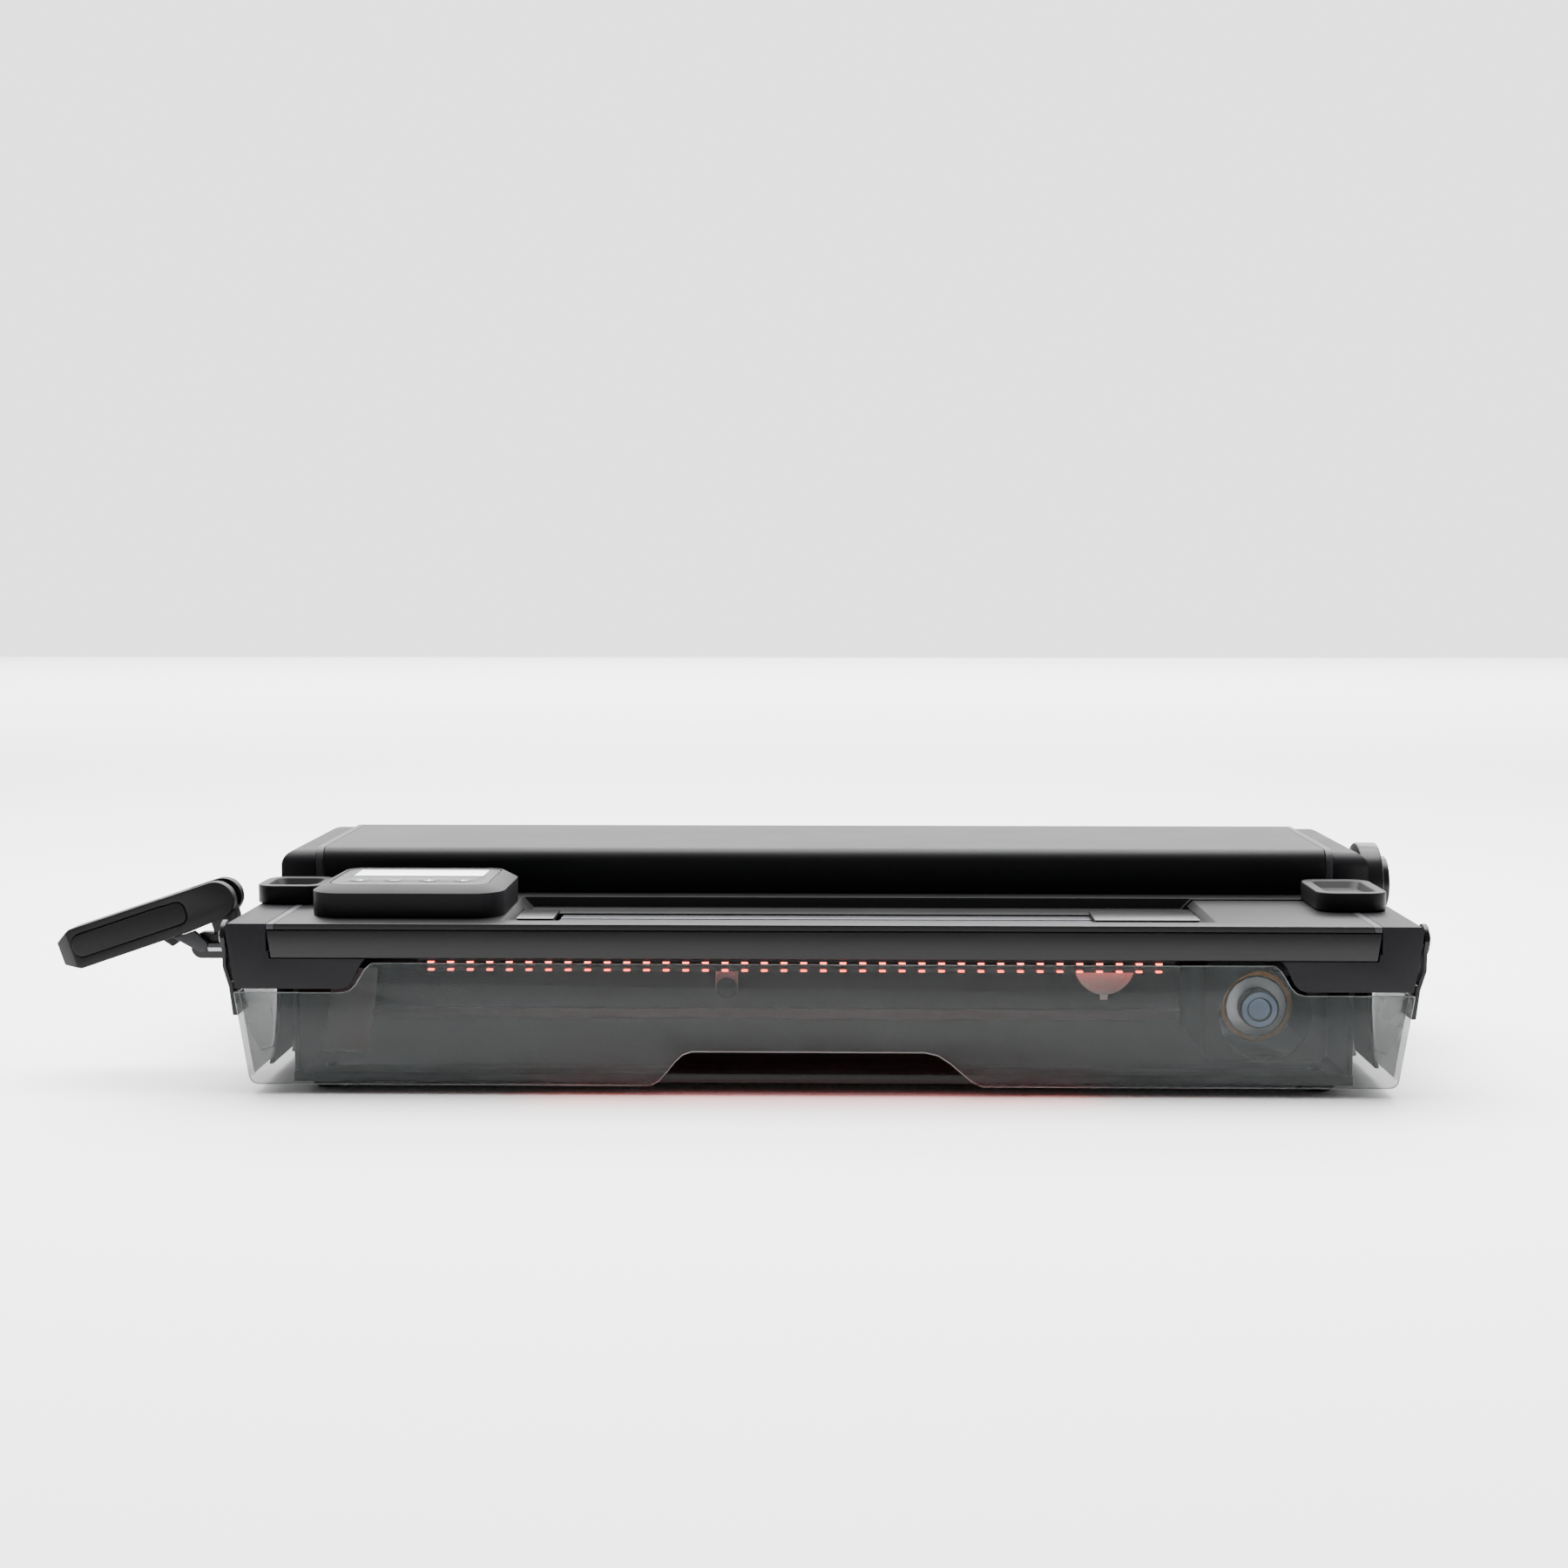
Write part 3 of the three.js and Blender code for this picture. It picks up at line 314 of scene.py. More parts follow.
# Clear plastics: little colour face on, and more where the eye looks along the sheet, as at its edges.
# The eye looks through two faces of each sheet, so alpha is that of one face.
clears = {
    "smoked_clear": {"name": "smokedPolycarbonate", "colour": "#3a3e3e", "alpha": (0.3, 0.92),
                     "rough": (0.03, 0.07)},
    # the door's rim: a paler colour that stands for light carried to the cut edges, a painted highlight
    "doorRim": {"name": "polishedPolycarbonateRim", "colour": "#a4a9a9", "alpha": (0.6, 0.95),
                "rough": (0.05, 0.1)},
    "clear_tab": {"name": "clearAcrylic", "colour": "#c9cdce", "alpha": (0.25, 0.85), "rough": (0.05, 0.1)},
    "pale_disc": {"name": "frostedAcetal", "colour": "#b9b2ae", "alpha": (0.85, 1), "rough": (0.3, 0.45)},
}


def clearPlastic(look):
    settings = {"Base Color": toLinear(look["colour"]), "IOR": 1.58, "Specular IOR Level": 0.3}
    material, tree, shader, coords = newMaterial(look["name"], settings)
    facing = addNode(tree, "ShaderNodeLayerWeight", {"Blend": 0.35})
    alpha = addNode(tree, "ShaderNodeMapRange", {"To Min": look["alpha"][0], "To Max": look["alpha"][1]},
                    {"Value": facing.outputs["Facing"]})
    flow = addNode(tree, "ShaderNodeTexNoise", {"Scale": 1 / (60 * mm), "Detail": 1}, {"Vector": coords})
    rough = addNode(tree, "ShaderNodeMapRange", {"To Min": look["rough"][0], "To Max": look["rough"][1]},
                    {"Value": flow.outputs["Fac"]})
    tree.links.new(alpha.outputs["Result"], shader.inputs["Alpha"])
    tree.links.new(rough.outputs["Result"], shader.inputs["Roughness"])
    return material


# Bonded grit: fine grains of abrasive stand out of a gold binder, drawn 0.6 mm across so that they show.
def bondedGrit():
    material, tree, shader, coords = newMaterial("bondedSuperabrasive", {"Metallic": 0.35, "Roughness": 0.6})
    grit = addNode(tree, "ShaderNodeTexVoronoi", {"Scale": 1 / (0.6 * mm)}, {"Vector": coords})
    colour = addNode(tree, "ShaderNodeMix", {"data_type": "RGBA", 6: toLinear("#e0a04a"),
                                             7: toLinear("#8c5a20")}, {0: grit.outputs["Distance"]})
    bump = addNode(tree, "ShaderNodeBump", {"Strength": 0.7, "Distance": 0.15 * mm},
                   {"Height": grit.outputs["Distance"]})
    tree.links.new(colour.outputs[2], shader.inputs["Base Color"])
    tree.links.new(bump.outputs["Normal"], shader.inputs["Normal"])
    return material


# Lit pieces: a cloudy lens over a lamp, a little brighter in its middle patches.
lamps = {
    "led_red": {"name": "litRedEpoxyLens", "colour": "#ff5a44", "power": 12},
    "display": {"name": "litDisplayGlass", "colour": "#f3f6ff", "power": 1.1},
}


def litLens(look):
    settings = {"Base Color": toLinear(look["colour"]), "Roughness": 0.25,
                "Emission Strength": look["power"]}
    material, tree, shader, coords = newMaterial(look["name"], settings)
    cloud = addNode(tree, "ShaderNodeTexNoise", {"Scale": 1 / (12 * mm), "Detail": 1}, {"Vector": coords})
    glow = addNode(tree, "ShaderNodeMix", {"data_type": "RGBA", 6: toLinear(look["colour"]),
                                           7: [0.9 * c for c in toLinear(look["colour"])]},
                   {0: cloud.outputs["Fac"]})
    tree.links.new(glow.outputs[2], shader.inputs["Emission Color"])
    return material


for slot, look in plastics.items():
    finishOf[slot] = plastic(look)
for slot, look in metals.items():
    finishOf[slot] = metal(look)
for slot, look in clears.items():
    finishOf[slot] = clearPlastic(look)
for slot, look in lamps.items():
    finishOf[slot] = litLens(look)
finishOf["abrasive"] = bondedGrit()
print("materials:", len(finishOf))


# CAD pieces whose shape is right get rounded edges, in mm, on a merged copy
edgeWidths = {
    "base_tray": 0.5, "right_end_cap": 0.9, "left_end_cap": 0.9, "rear_cover": 0.5,
    "right_trim_strip": 0.3, "left_trim_strip": 0.3, "deck_panel": 0.6, "front_fascia": 0.7,
    "right_slot_cover": 0.3, "left_slot_cover": 0.3, "front_door": 0.7, "right_door_arm": 0.4,
    "left_door_arm": 0.4, "lever_handle": 1.1, "lever_cam": 0.5, "lever_bracket": 0.6,
    "moving_jaw": 0.4, "fixed_jaw": 0.4, "clamp_rod": 0.2, "pod_panel": 0.15, "display_window": 0.15,
    "carriage_beam": 0.4, "arm_plate": 0.5, "grinding_motor": 0.6, "traverse_motor": 0.8,
    "fan_frame": 0.5, "fan_rotor": 0.3, "main_board": 0.2, "power_supply": 0.8, "power_inlet": 0.4,
    "switch_frame": 0.4, "switch_rocker": 0.5, "interlock_flag": 0.3, "drive_belt": 0.2,
    "drive_pulley": 0.3, "idler_pulley": 0.3, "spindle": 0.4,
}


def pieceName(node):
    first, *rest = node.split("_")
    return first + "".join(word.capitalize() for word in rest)


def roundedCopy(node, width):
    obj = bpy.data.objects.new(pieceName(node), nodes[node].data.copy())
    bpy.context.scene.collection.objects.link(obj)
    selectOnly(obj)
    if obj.data.has_custom_normals:
        bpy.ops.mesh.customdata_custom_splitnormals_clear()
    bpy.ops.object.mode_set(mode="EDIT")
    bpy.ops.mesh.select_all(action="SELECT")
    bpy.ops.mesh.remove_doubles(threshold=0.01 * mm)
    bpy.ops.mesh.dissolve_limited(angle_limit=math.radians(0.6))
    endEdit()
    roundEdges(obj, width)
    return settleAs(obj, node)


# The door's rim is painted paler than its face, as a painted highlight for the light that the sheet carries to its
# cut edges.
# The rim is the small faces of the front wall that are turned away from the front.
rim = {"deep": 6, "turn": 0.92, "area": 6000}


def brightenRim(obj):
    low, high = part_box("front_door")
    # the rim faces get the paler material, a painted highlight
    obj.data.materials.append(finishOf["doorRim"])
    for face in obj.data.polygons:
        inFront = face.center.y < low.y + rim["deep"] * mm
        if inFront and abs(face.normal.y) < rim["turn"] and face.area < rim["area"] * mm * mm:
            face.material_index = 1


for node, width in edgeWidths.items():
    piece = roundedCopy(node, width)
    if node == "front_door":
        brightenRim(piece)
print("rounded copies:", len(edgeWidths))


# feet: a chamfered rubber stud with a shallow hollow under it
foot = {"tread": 8.5, "side": 10, "hollow": 5, "hollowDeep": 0.8, "chamfer": 1.5, "tall": 5.7, "stem": 3.2}


def makeFoot(node):
    low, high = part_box(node)
    centre = Vector(((low.x + high.x) / 2, (low.y + high.y) / 2, low.z))
    tall = (high.z - low.z) / mm
    profile = [(foot["hollow"] - 1, foot["hollowDeep"]), (foot["hollow"], 0), (foot["tread"], 0),
               (foot["side"], foot["chamfer"]), (foot["side"], foot["tall"]), (foot["stem"], foot["tall"]),
               (foot["stem"], tall)]
    obj = turned(pieceName(node), profile, centre)
    roundEdges(obj, 0.3, 2)
    settleAs(obj, node)


for node in ["front_left_foot", "front_right_foot", "rear_left_foot", "rear_right_foot"]:
    makeFoot(node)


# air outlet: two stepped discs and an open mouth
outlet = {"flange": 24, "neck": 18, "spout": 16, "mouth": 12.5, "mouthDeep": 9, "spoutLong": 5.5, "gap": 0.3,
          "taper": 0.6}


def makeOutlet():
    low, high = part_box("outlet_port")
    centre = Vector((low.x, (low.y + high.y) / 2, (low.z + high.z) / 2))
    long = (high.x - low.x) / mm
    step = long - outlet["spoutLong"]
    flangeStart = (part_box("right_end_cap")[1].x - low.x) / mm + outlet["gap"]
    profile = [(outlet["neck"], 0), (outlet["neck"], flangeStart), (outlet["flange"], flangeStart),
               (outlet["flange"], step), (outlet["spout"], step), (outlet["spout"], long),
               (outlet["mouth"], long), (outlet["mouth"] - outlet["taper"], long - outlet["mouthDeep"])]
    obj = turned("outletPort", profile, centre, "X", 96)
    roundEdges(obj, 0.8)
    settleAs(obj, "outlet_port")


makeOutlet()


# hinge pins with a flat head, and guide rails with chamfered ends
pin = {"shaft": 3, "head": 1.4, "edge": 0.4, "crown": 1}
rail = {"chamfer": 0.6}


def makePin(node, side):
    low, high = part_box(node)
    centre = Vector((low.x, (low.y + high.y) / 2, (low.z + high.z) / 2))
    long = (high.x - low.x) / mm
    headR = (high.z - low.z) / 2 / mm
    shaft, head, edge, top = pin["shaft"], pin["head"], pin["edge"], headR - pin["crown"]
    profile = [(shaft, 0), (shaft, long - head), (headR, long - head), (headR, long - edge), (top, long)]
    if side < 0:
        profile = [(top, 0), (headR, edge), (headR, head), (shaft, head), (shaft, long)]
    obj = turned(pieceName(node), profile, centre, "X", 48)
    roundEdges(obj, 0.2, 2)
    settleAs(obj, node)


def makeRail(node):
    low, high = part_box(node)
    radius = (high.z - low.z) / 2 / mm
    long = (high.x - low.x) / mm
    centre = Vector((low.x, (low.y + high.y) / 2, (low.z + high.z) / 2))
    cut = rail["chamfer"]
    profile = [(radius - cut, 0), (radius, cut), (radius, long - cut), (radius - cut, long)]
    obj = turned(pieceName(node), profile, centre, "X", 40)
    smooth(obj)
    settleAs(obj, node)


# grinding ring, and the knurled nut that holds it on its spindle
ring = {"hole": 17.3, "chamfer": 0.5}
nut = {"sides": 72, "backCut": 1.4, "backDeep": 1, "frontCut": 1.2, "face": 4, "dish": 5, "dishDeep": 1.4}
knurl = {"inset": 0.12, "deep": 0.45}


def makeRing():
    low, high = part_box("grinding_ring")
    centre = Vector(((low.x + high.x) / 2, high.y, (low.z + high.z) / 2))
    wide = (high.y - low.y) / mm
    outer, hole, cut = (high.z - low.z) / 2 / mm, ring["hole"], ring["chamfer"]
    profile = [(hole, 0), (outer - cut, 0), (outer, cut), (outer, wide - cut), (outer - cut, wide),
               (hole, wide), (hole, 0)]
    obj = turned("grindingRing", profile, centre, "Y", 96)
    smooth(obj)
    settleAs(obj, "grinding_ring")


def makeNut():
    low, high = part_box("arbor_nut")
    centre = Vector(((low.x + high.x) / 2, high.y, (low.z + high.z) / 2))
    wide = (high.y - low.y) / mm
    outer = (high.z - low.z) / 2 / mm
    profile = [(outer - nut["backCut"], 0), (outer, nut["backDeep"]), (outer, wide - nut["frontCut"]),
               (outer - nut["frontCut"], wide), (outer - nut["face"], wide),
               (outer - nut["dish"], wide - nut["dishDeep"])]
    obj = turned("arborNut", profile, centre, "Y", nut["sides"])
    startEdit(obj, "FACE")
    # every other band of the rim is set in, which makes the knurl
    pickFaces(obj, lambda face: isRim(face, centre, outer * mm) and rimStep(face, centre) % 2 == 0)
    bpy.ops.mesh.inset(thickness=knurl["inset"] * mm, depth=-knurl["deep"] * mm, use_individual=True)
    endEdit()
    smooth(obj, 25)
    settleAs(obj, "arbor_nut")


def isRim(face, centre, radius):
    middle = face.calc_center_median()
    return abs(face.normal.y) < 0.1 and math.hypot(middle.x - centre.x, middle.z - centre.z) > 0.97 * radius


def rimStep(face, centre):
    middle = face.calc_center_median()
    step = 2 * math.pi / nut["sides"]
    return round(math.atan2(middle.z - centre.z, middle.x - centre.x) / step - 0.5)


makePin("right_door_pin", 1)
makePin("left_door_pin", -1)
makeRail("front_rail")
makeRail("rear_rail")
makeRing()
makeNut()
print("turned pieces done")


# control pod: a round-cornered body with a wide sloping rim round the sunken panel
pod = {"corner": 17, "rimRise": 4, "rimWide": 7.5, "sink": 0.9, "lip": 1.2, "wall": 3}


def buttonCentre(node):
    low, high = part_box(node)
    return (low + high) / 2, (high.x - low.x) / 2


buttonNodes = ["button_back", "button_less", "button_more", "button_start"]


def makePod():
    low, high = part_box("pod_housing")
    obj = roundedBlock("podHousing", low, (high.x, high.y, high.z - pod["rimRise"] * mm), pod["corner"])
    startEdit(obj, "FACE")
    pickFaces(obj, lambda face: face.normal.z > 0.99)
    bpy.ops.mesh.inset(thickness=pod["rimWide"] * mm, depth=pod["rimRise"] * mm)
    bpy.ops.mesh.inset(thickness=pod["lip"] * mm, depth=0)
    bpy.ops.mesh.inset(thickness=0.1 * mm, depth=-pod["sink"] * mm - 0.4 * mm)
    endEdit()
    inset = pod["wall"] * mm
    hollow = roundedBlock("podHollow", low + Vector((inset, inset, -inset)),
                          high - Vector((inset, inset, 2 * inset)), pod["corner"] - pod["wall"])
    holes = []
    for node in buttonNodes:
        centre, radius = buttonCentre(node)
        holes.append(turned("hole", [(radius / mm + 0.4, -30), (radius / mm + 0.4, 30)], centre))
    cutAway(obj, [hollow] + holes)
    roundEdges(obj, 0.5)
    settleAs(obj, "pod_housing")


# each button is a dished cap with a raised, lit mark of a plain shape
button = {"dish": 0.35, "icon": 0.12, "half": 2.2, "bar": 0.45, "rise": 0.1}


def iconBar(centre, halfX, halfY):
    tall = Vector((halfX, halfY, button["icon"])) * mm
    return block("bar", centre - tall, centre + tall)


def iconArrow(centre, turn):
    bpy.ops.object.select_all(action="DESELECT")
    bpy.ops.mesh.primitive_cylinder_add(
        vertices=3, radius=button["half"] * mm, depth=2 * button["icon"] * mm,
        location=centre, rotation=(0, 0, math.radians(turn)))
    applyPlace(bpy.context.object)
    return bpy.context.object


def makeButton(node, marks):
    centre, radius = buttonCentre(node)
    low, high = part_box(node)
    tall = (high.z - low.z) / mm
    full = radius / mm
    profile = [(full, 0), (full, tall - 0.4), (full - 0.4, tall), (full - 1.2, tall),
               (full - 1.8, tall - button["dish"])]
    base = Vector((centre.x, centre.y, low.z))
    obj = turned(pieceName(node), profile, base, "Z", 48)
    smooth(obj)
    settleAs(obj, node)
    top = base + Vector((0, 0, (tall - button["dish"] + button["rise"]) * mm))
    icon = joinAll(marks(top), pieceName(node) + "Mark")
    roundEdges(icon, 0.05, 2)
    settle(icon, bodyOf[node], "display")


makePod()
makeButton("button_back", lambda top: [iconArrow(top, 90)])
makeButton("button_less", lambda top: [iconBar(top, button["half"], button["bar"])])
makeButton("button_more", lambda top: [iconBar(top, button["half"], button["bar"]),
                                       iconBar(top, button["bar"], button["half"])])
makeButton("button_start", lambda top: [iconArrow(top, -90)])
print("pod done")


# grips of the slot covers: a thick pad with a sunken, sloping dish
grip = {"corner": 11, "rim": 5.5, "deep": 4.6, "shrink": 0.84}


def makeGrip(node):
    low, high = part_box(node)
    obj = roundedBlock(pieceName(node), low, high, grip["corner"])
    startEdit(obj, "FACE")
    pickFaces(obj, lambda face: face.normal.z > 0.99)
    bpy.ops.mesh.inset(thickness=grip["rim"] * mm, depth=0)
    bpy.ops.mesh.extrude_region_move(TRANSFORM_OT_translate={"value": (0, 0, -grip["deep"] * mm)})
    middle = (low + high) / 2
    bpy.ops.transform.resize(value=(grip["shrink"], grip["shrink"], 1), center_override=middle)
    endEdit()
    roundEdges(obj, 0.9, 4)
    settleAs(obj, node)


makeGrip("right_grip")
makeGrip("left_grip")


# carriage case: a round-cornered box with a round window in front and a slot over the ring
case = {"corner": 4, "wall": 2.5, "windowR": 25, "windowZ": 25.5, "slotIn": 7, "slotFront": 22,
        "slotBack": 40, "through": 10}


def makeCase():
    low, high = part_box("carriage_housing")
    wall = case["wall"] * mm
    obj = roundedBlock("carriageHousing", low, high, case["corner"], 6, "Y")
    hollow = block("hollow", low + Vector((wall, wall, wall)),
                   Vector((high.x - wall, high.y + wall, high.z - wall)))
    slotIn, through = case["slotIn"] * mm, case["through"]
    slotCut = block("slotCut", (low.x + slotIn, low.y + case["slotFront"] * mm, high.z - through * mm),
                    (high.x - slotIn, low.y + case["slotBack"] * mm, high.z + through * mm))
    centre = Vector(((low.x + high.x) / 2, low.y, low.z + case["windowZ"] * mm))
    window = turned("window", [(case["windowR"], -through), (case["windowR"], through)], centre, "Y", 96)
    cutAway(obj, [hollow, slotCut, window])
    roundEdges(obj, 0.5)
    settleAs(obj, "carriage_housing")


makeCase()
print("grips and carriage done")


# lever inlay: a raised round-ended plate in the handle's front face
inlay = {"x": (-83.6, -17.4), "z": (-6.1, 6.1), "y": (-12.2, -9.7), "corner": 5, "tilt": 18.6}


def makeInlay():
    pivot = Vector(jointOf["lever_hinge"]["pos_m"])
    low = Vector((inlay["x"][0], inlay["y"][0], inlay["z"][0])) * mm
    high = Vector((inlay["x"][1], inlay["y"][1], inlay["z"][1])) * mm
    obj = roundedBlock("leverInlay", low, high, inlay["corner"], 8, "Y")
    obj.rotation_euler = (0, -math.radians(inlay["tilt"]), 0)
    obj.location = pivot
    applyPlace(obj)
    roundEdges(obj, 0.5)
    settle(obj, "lever", "satin_abs")


makeInlay()


# light strip: a black board with two rows of small lit lenses that reach below the fascia
lights = {"count": 38, "pitch": 10.5, "first": 7, "board": 1.8, "wide": 3.4, "deep": 2.6, "tall": 0.9,
          "rowsBelow": (1.9, 6.1), "back": 0.5}
riserSize = {"gap": 0.1, "deep": 1.2, "tall": 7.4, "under": 0.05}


def makeLights():
    low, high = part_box("led_strip")
    board = roundedBlock("lightBoard", (low.x, low.y, high.z - lights["board"] * mm), high, 0.8, 3)
    roundEdges(board, 0.2, 2)
    settle(board, "chassis", "black_abs", ["led_strip"])
    riserY = low.y + (lights["back"] + riserSize["gap"] + lights["deep"]) * mm
    riserTop = high.z - (lights["board"] + riserSize["under"]) * mm
    riser = block("lightRiser", (low.x, riserY, high.z - riserSize["tall"] * mm),
                  (high.x, riserY + riserSize["deep"] * mm, riserTop))
    roundEdges(riser, 0.2, 2)
    settle(riser, "chassis", "black_abs")
    for row, below in enumerate(lights["rowsBelow"]):
        start = Vector((low.x + lights["first"] * mm, low.y + lights["back"] * mm, high.z - below * mm))
        makeLensRow(f"lightLenses{row + 1}", start)


# one row of lenses, each a small rounded block that stands on the board's riser
def makeLensRow(name, start):
    half = Vector((lights["wide"] / 2, 0, 0)) * mm
    lens = block(name, start - half - Vector((0, 0, lights["tall"] * mm)),
                 start + half + Vector((0, lights["deep"] * mm, 0)))
    roundEdges(lens, 0.4, 3)
    row = lens.modifiers.new("row", "ARRAY")
    row.count = lights["count"]
    row.use_relative_offset = False
    row.use_constant_offset = True
    row.constant_offset_displace = (lights["pitch"] * mm, 0, 0)
    applyModifiers(lens)
    settle(lens, "chassis", "led_red")


# sensor disc: a frosted disc cut off level under the deck, with a small tab under it
disc = {"tabHalf": 2, "tabTall": 6, "tabBack": 1, "below": 3, "chamfer": 0.5, "rim": 3, "dish": 0.4}


def makeDisc():
    low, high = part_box("sensor_disc")
    radius = (high.x - low.x) / 2 / mm
    wide = (high.y - low.y) / mm
    middle = (low.x + high.x) / 2
    centre = Vector((middle, high.y, low.z + (disc["below"] + radius) * mm))
    cut, face, dish = disc["chamfer"], radius - disc["rim"], disc["dish"]
    profile = [(radius - cut, 0), (radius, cut), (radius, wide - cut), (radius - cut, wide), (face, wide),
               (face - dish, wide - dish)]
    obj = turned("sensorDisc", profile, centre, "Y", 72)
    startEdit(obj, "FACE")
    bpy.ops.mesh.select_all(action="SELECT")
    bpy.ops.mesh.bisect(plane_co=(0, 0, high.z), plane_no=(0, 0, 1), clear_outer=True, use_fill=True)
    endEdit()
    tab = block("sensorTab", (middle - disc["tabHalf"] * mm, low.y + disc["tabBack"] * mm, low.z),
                (middle + disc["tabHalf"] * mm, high.y, low.z + disc["tabTall"] * mm))
    roundEdges(tab, 0.3, 2)
    smooth(obj)
    settleAs(joinAll([obj, tab], "sensorDisc"), "sensor_disc")


# black tip of the interlock tab: flat on top and round below
tip = {"radius": 5.6, "thick": 1.4, "rise": 2.6, "edge": 0.6, "edgeDeep": 0.4, "gap": 0.3, "lift": 0.1}


def makeTip():
    low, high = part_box("interlock_flag")
    radius, thick = tip["radius"], tip["thick"]
    centre = Vector(((low.x + high.x) / 2, low.y - tip["gap"] * mm, low.z + (radius + tip["lift"]) * mm))
    narrow, edge = radius - tip["edge"], tip["edgeDeep"]
    profile = [(narrow, 0), (radius, edge), (radius, thick - edge), (narrow, thick)]
    obj = turned("interlockTip", profile, centre, "Y", 48)
    cap = block("tipTop", centre - Vector((radius, thick, 0)) * mm,
                centre + Vector((radius, 0, tip["rise"])) * mm)
    roundEdges(cap, 0.3, 2)
    smooth(obj)
    settle(joinAll([obj, cap], "interlockTip"), "chassis", "black_abs")


# light liner behind each end of the door, and the pale lip along the tray's back
liner = {"radius": 85, "thick": 1.6, "from": 22, "to": 58, "inset": 3.4, "rightWide": 20, "leftWide": 42}
lip = {"deep": 3.6, "tall": 5.6, "base": 9.3, "inset": 14, "behindCover": 36.6}


# The door's cheeks swing past the liner, so it is an arc about the same axis.
def makeLiner(name, side, wide):
    pivot = Vector(jointOf["door_hinge"]["pos_m"])
    low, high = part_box("base_tray")
    outerX = high.x - liner["inset"] * mm if side > 0 else low.x + liner["inset"] * mm
    thick = liner["thick"] * mm
    obj = block(name, (-wide / 2 * mm, -thick / 2, -0.5 * mm), (wide / 2 * mm, thick / 2, 0.5 * mm))
    startEdit(obj, "FACE")
    pickFaces(obj, lambda face: abs(face.normal.z) < 0.5 or face.normal.z < 0)
    bpy.ops.mesh.delete(type="FACE")
    endEdit()
    # the face that is left lies at the arc's lower end and is swept up to its upper end
    lowEnd, reach = math.radians(liner["to"]), liner["radius"] * mm + thick / 2
    obj.rotation_euler = (-lowEnd, 0, 0)
    obj.location = (outerX - side * wide / 2 * mm, pivot.y + reach * math.cos(lowEnd),
                    pivot.z - reach * math.sin(lowEnd))
    applyPlace(obj)
    startEdit(obj, "FACE")
    bpy.ops.mesh.select_all(action="SELECT")
    sweep = math.radians(liner["to"] - liner["from"])
    bpy.ops.mesh.spin(steps=24, angle=sweep, center=pivot, axis=(-1, 0, 0))
    bpy.ops.mesh.select_all(action="SELECT")
    bpy.ops.mesh.normals_make_consistent(inside=False)
    endEdit()
    roundEdges(obj, 0.4, 2)
    settleLiner(obj)


def settleLiner(obj):
    obj.data.materials.clear()
    obj.data.materials.append(finishOf["liner"])
    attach(obj, "chassis")


def makeLip():
    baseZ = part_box("base_tray")[0].z + lip["base"] * mm
    deckLow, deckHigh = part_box("deck_panel")
    inset = lip["inset"] * mm
    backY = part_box("rear_cover")[0].y + lip["behindCover"] * mm
    obj = roundedBlock("backLip", (deckLow.x + inset, backY - lip["deep"] * mm, baseZ),
                       (deckHigh.x - inset, backY, baseZ + lip["tall"] * mm), 1, 3)
    roundEdges(obj, 0.5, 2)
    settleLiner(obj)


# base screws: pan heads with a round drive, sunk in their seats. The tray's rim stands 4 mm lower than its
# underside, so heights from the rim start at the gap.
screw = {"head": 3.4, "drive": 1.6, "driveDeep": 1.4, "edge": 0.6, "edgeDeep": 0.8, "gap": 4.4, "tall": 6.7}
screwAt = {"front": 8, "back": 14, "wide": 240, "narrow": 120}


def makeScrews():
    low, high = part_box("base_tray")
    middle = (low.x + high.x) / 2
    front, back = low.y + screwAt["front"] * mm, high.y - screwAt["back"] * mm
    places = [(side * screwAt["wide"], front) for side in (-1, 0, 1)]
    places += [(side * screwAt["narrow"], back) for side in (-1, 1)]
    gap, head, drive = screw["gap"], screw["head"], screw["drive"]
    profile = [(drive, gap + screw["driveDeep"]), (drive, gap), (head - screw["edge"], gap),
               (head, gap + screw["edgeDeep"]), (head, screw["tall"])]
    for i, (x, y) in enumerate(places):
        obj = turned(f"baseScrew{i + 1}", profile, Vector((middle + x * mm, y, low.z)), "Z", 40)
        smooth(obj)
        settle(obj, "chassis", "steel")


makeLights()
makeDisc()
makeTip()
makeLiner("rightLiner", 1, liner["rightWide"])
makeLiner("leftLiner", -1, liner["leftWide"])
makeLip()
makeScrews()
print("lights, disc and liners done")

# what is left of the CAD nodes keeps its shape and gets its finish
for node, obj in nodes.items():
    obj.data.materials.clear()
    obj.data.materials.append(finishOf[slotOf[node]])


# floor, light and camera
def makeStage():
    bpy.ops.object.select_all(action="DESELECT")
    bpy.ops.mesh.primitive_plane_add(size=12)
    floor = bpy.context.object
    floor.name = "paleFloor"
    material, tree, shader, coords = newMaterial("paintedPaleBoard", {"Roughness": 0.85})
    cloud = addNode(tree, "ShaderNodeTexNoise", {"Scale": 2}, {"Vector": coords})
    colour = addNode(tree, "ShaderNodeMix", {"data_type": "RGBA", 6: toLinear("#f4f4f4"),
                                             7: toLinear("#f1f1f1")}, {0: cloud.outputs["Fac"]})
    tree.links.new(colour.outputs[2], shader.inputs["Base Color"])
    floor.data.materials.append(material)


def addSoftbox(name, place, target, size, power, colour="#ffffff", seen=True):
    lamp = bpy.data.lights.new(name, "AREA")
    lamp.shape = "RECTANGLE"
    lamp.size, lamp.size_y = size
    lamp.energy = power
    lamp.color = toLinear(colour)[:3]
    obj = bpy.data.objects.new(name, lamp)
    obj.location = place
    obj.rotation_euler = (Vector(target) - Vector(place)).to_track_quat("-Z", "Y").to_euler()
    obj.visible_camera = seen
    bpy.context.scene.collection.objects.link(obj)


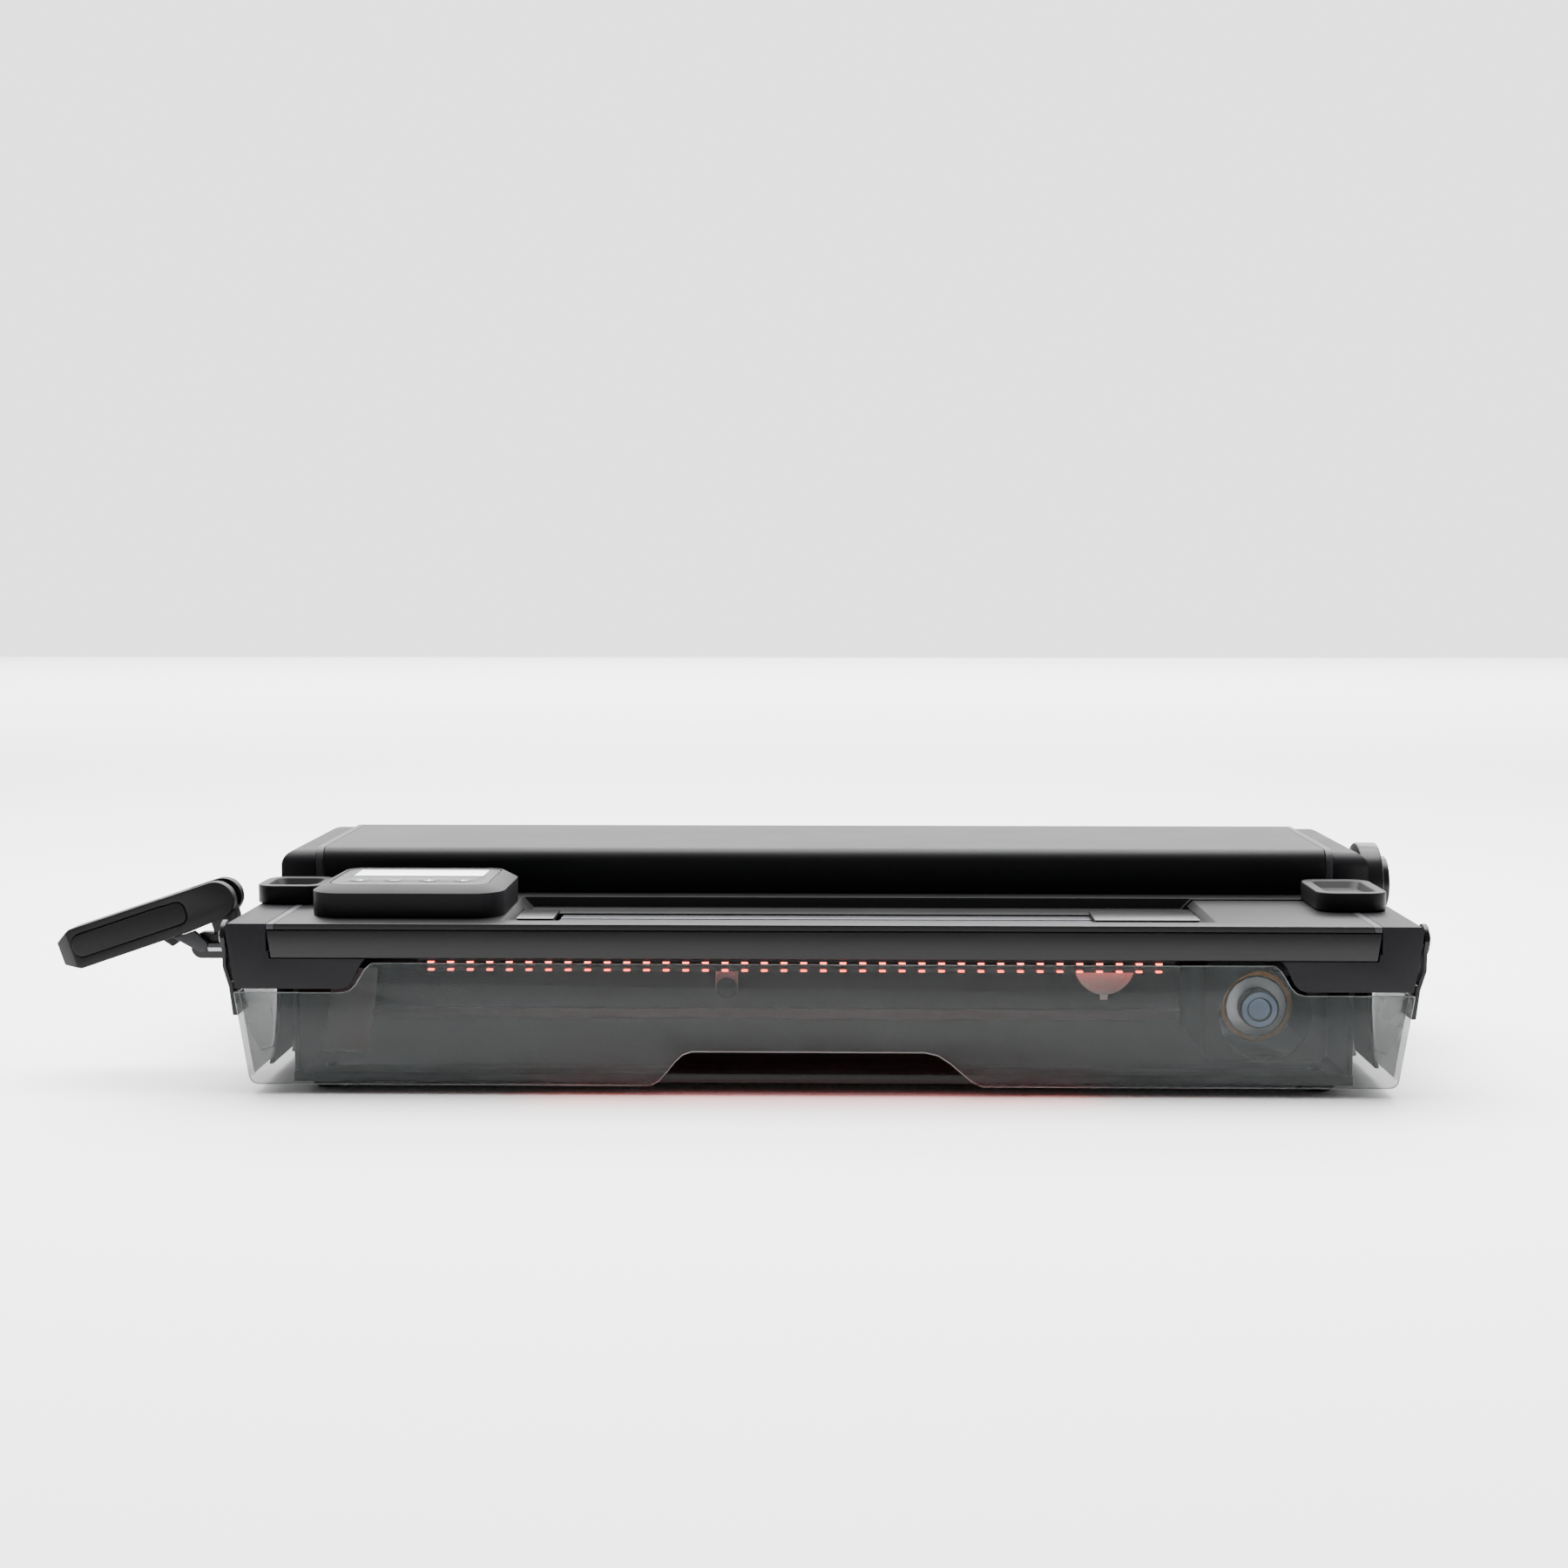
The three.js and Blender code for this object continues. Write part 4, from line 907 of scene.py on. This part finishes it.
# The studio is bright behind the machine and dim behind the camera, so dark plastic stays dark in front.
def makeWorld():
    world = bpy.data.worlds.new("paleStudio")
    world.use_nodes = True
    tree = world.node_tree
    direction = addNode(tree, "ShaderNodeSeparateXYZ", {}, {
        "Vector": addNode(tree, "ShaderNodeTexCoord").outputs["Generated"]})
    strength = addNode(tree, "ShaderNodeMapRange", {"From Min": -0.1, "From Max": 0.5, "To Min": 0.16,
                                                    "To Max": 2.6}, {"Value": direction.outputs["Y"]})
    background = tree.nodes["Background"]
    background.inputs["Color"].default_value = (1, 1, 1, 1)
    tree.links.new(strength.outputs["Result"], background.inputs["Strength"])
    return world


# place, target, size and power of each white lamp
softboxes = {
    "topSoftbox": ((0, 0.35, 1.5), (0, 0.15, 0), (2.2, 1.2), 150),
    "leftSoftbox": ((-1.6, -0.7, 0.9), (0, 0, 0.05), (0.4, 0.6), 3),
    "rightSoftbox": ((1.6, -0.6, 0.8), (0, 0, 0.05), (0.4, 0.6), 3),
}
red = "#ff2a1a"
view = {"place": (48.1, -1312.8, 279), "heading": 1.15, "pitch": 5.38, "lens": 52, "sensor": 36}


def makeLamps():
    for name, lamp in softboxes.items():
        addSoftbox(name, *lamp)
    addSoftbox("backSoftbox", (0, 4.2, 2.6), (0, 4.4, 0), (8, 3.4), 900, "#ffffff", False)
    # the chamber's red glow, and the little of it that reaches the floor
    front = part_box("front_door")[0].y
    addSoftbox("redChamberLight", (0.04, front + 0.02, 0.066), (0.04, front + 0.05, 0.0), (0.4, 0.01), 0.07,
               red, False)
    addSoftbox("redFloorLight", (0.04, front - 0.012, 0.016), (0.04, front - 0.02, 0), (0.3, 0.02), 0.03,
               red, False)


def makeCamera():
    camera = bpy.data.cameras.new("mainCamera")
    camera.lens = view["lens"]
    camera.sensor_width = view["sensor"]
    obj = bpy.data.objects.new("mainCamera", camera)
    obj.location = Vector(view["place"]) * mm
    heading, pitch = math.radians(view["heading"]), math.radians(view["pitch"])
    level = math.cos(pitch)
    look = Vector((-math.sin(heading) * level, math.cos(heading) * level, -math.sin(pitch)))
    obj.rotation_euler = look.to_track_quat("-Z", "Y").to_euler()
    bpy.context.scene.collection.objects.link(obj)
    bpy.context.scene.camera = obj


makeStage()
bpy.context.scene.world = makeWorld()
makeLamps()
makeCamera()
print("stage done")
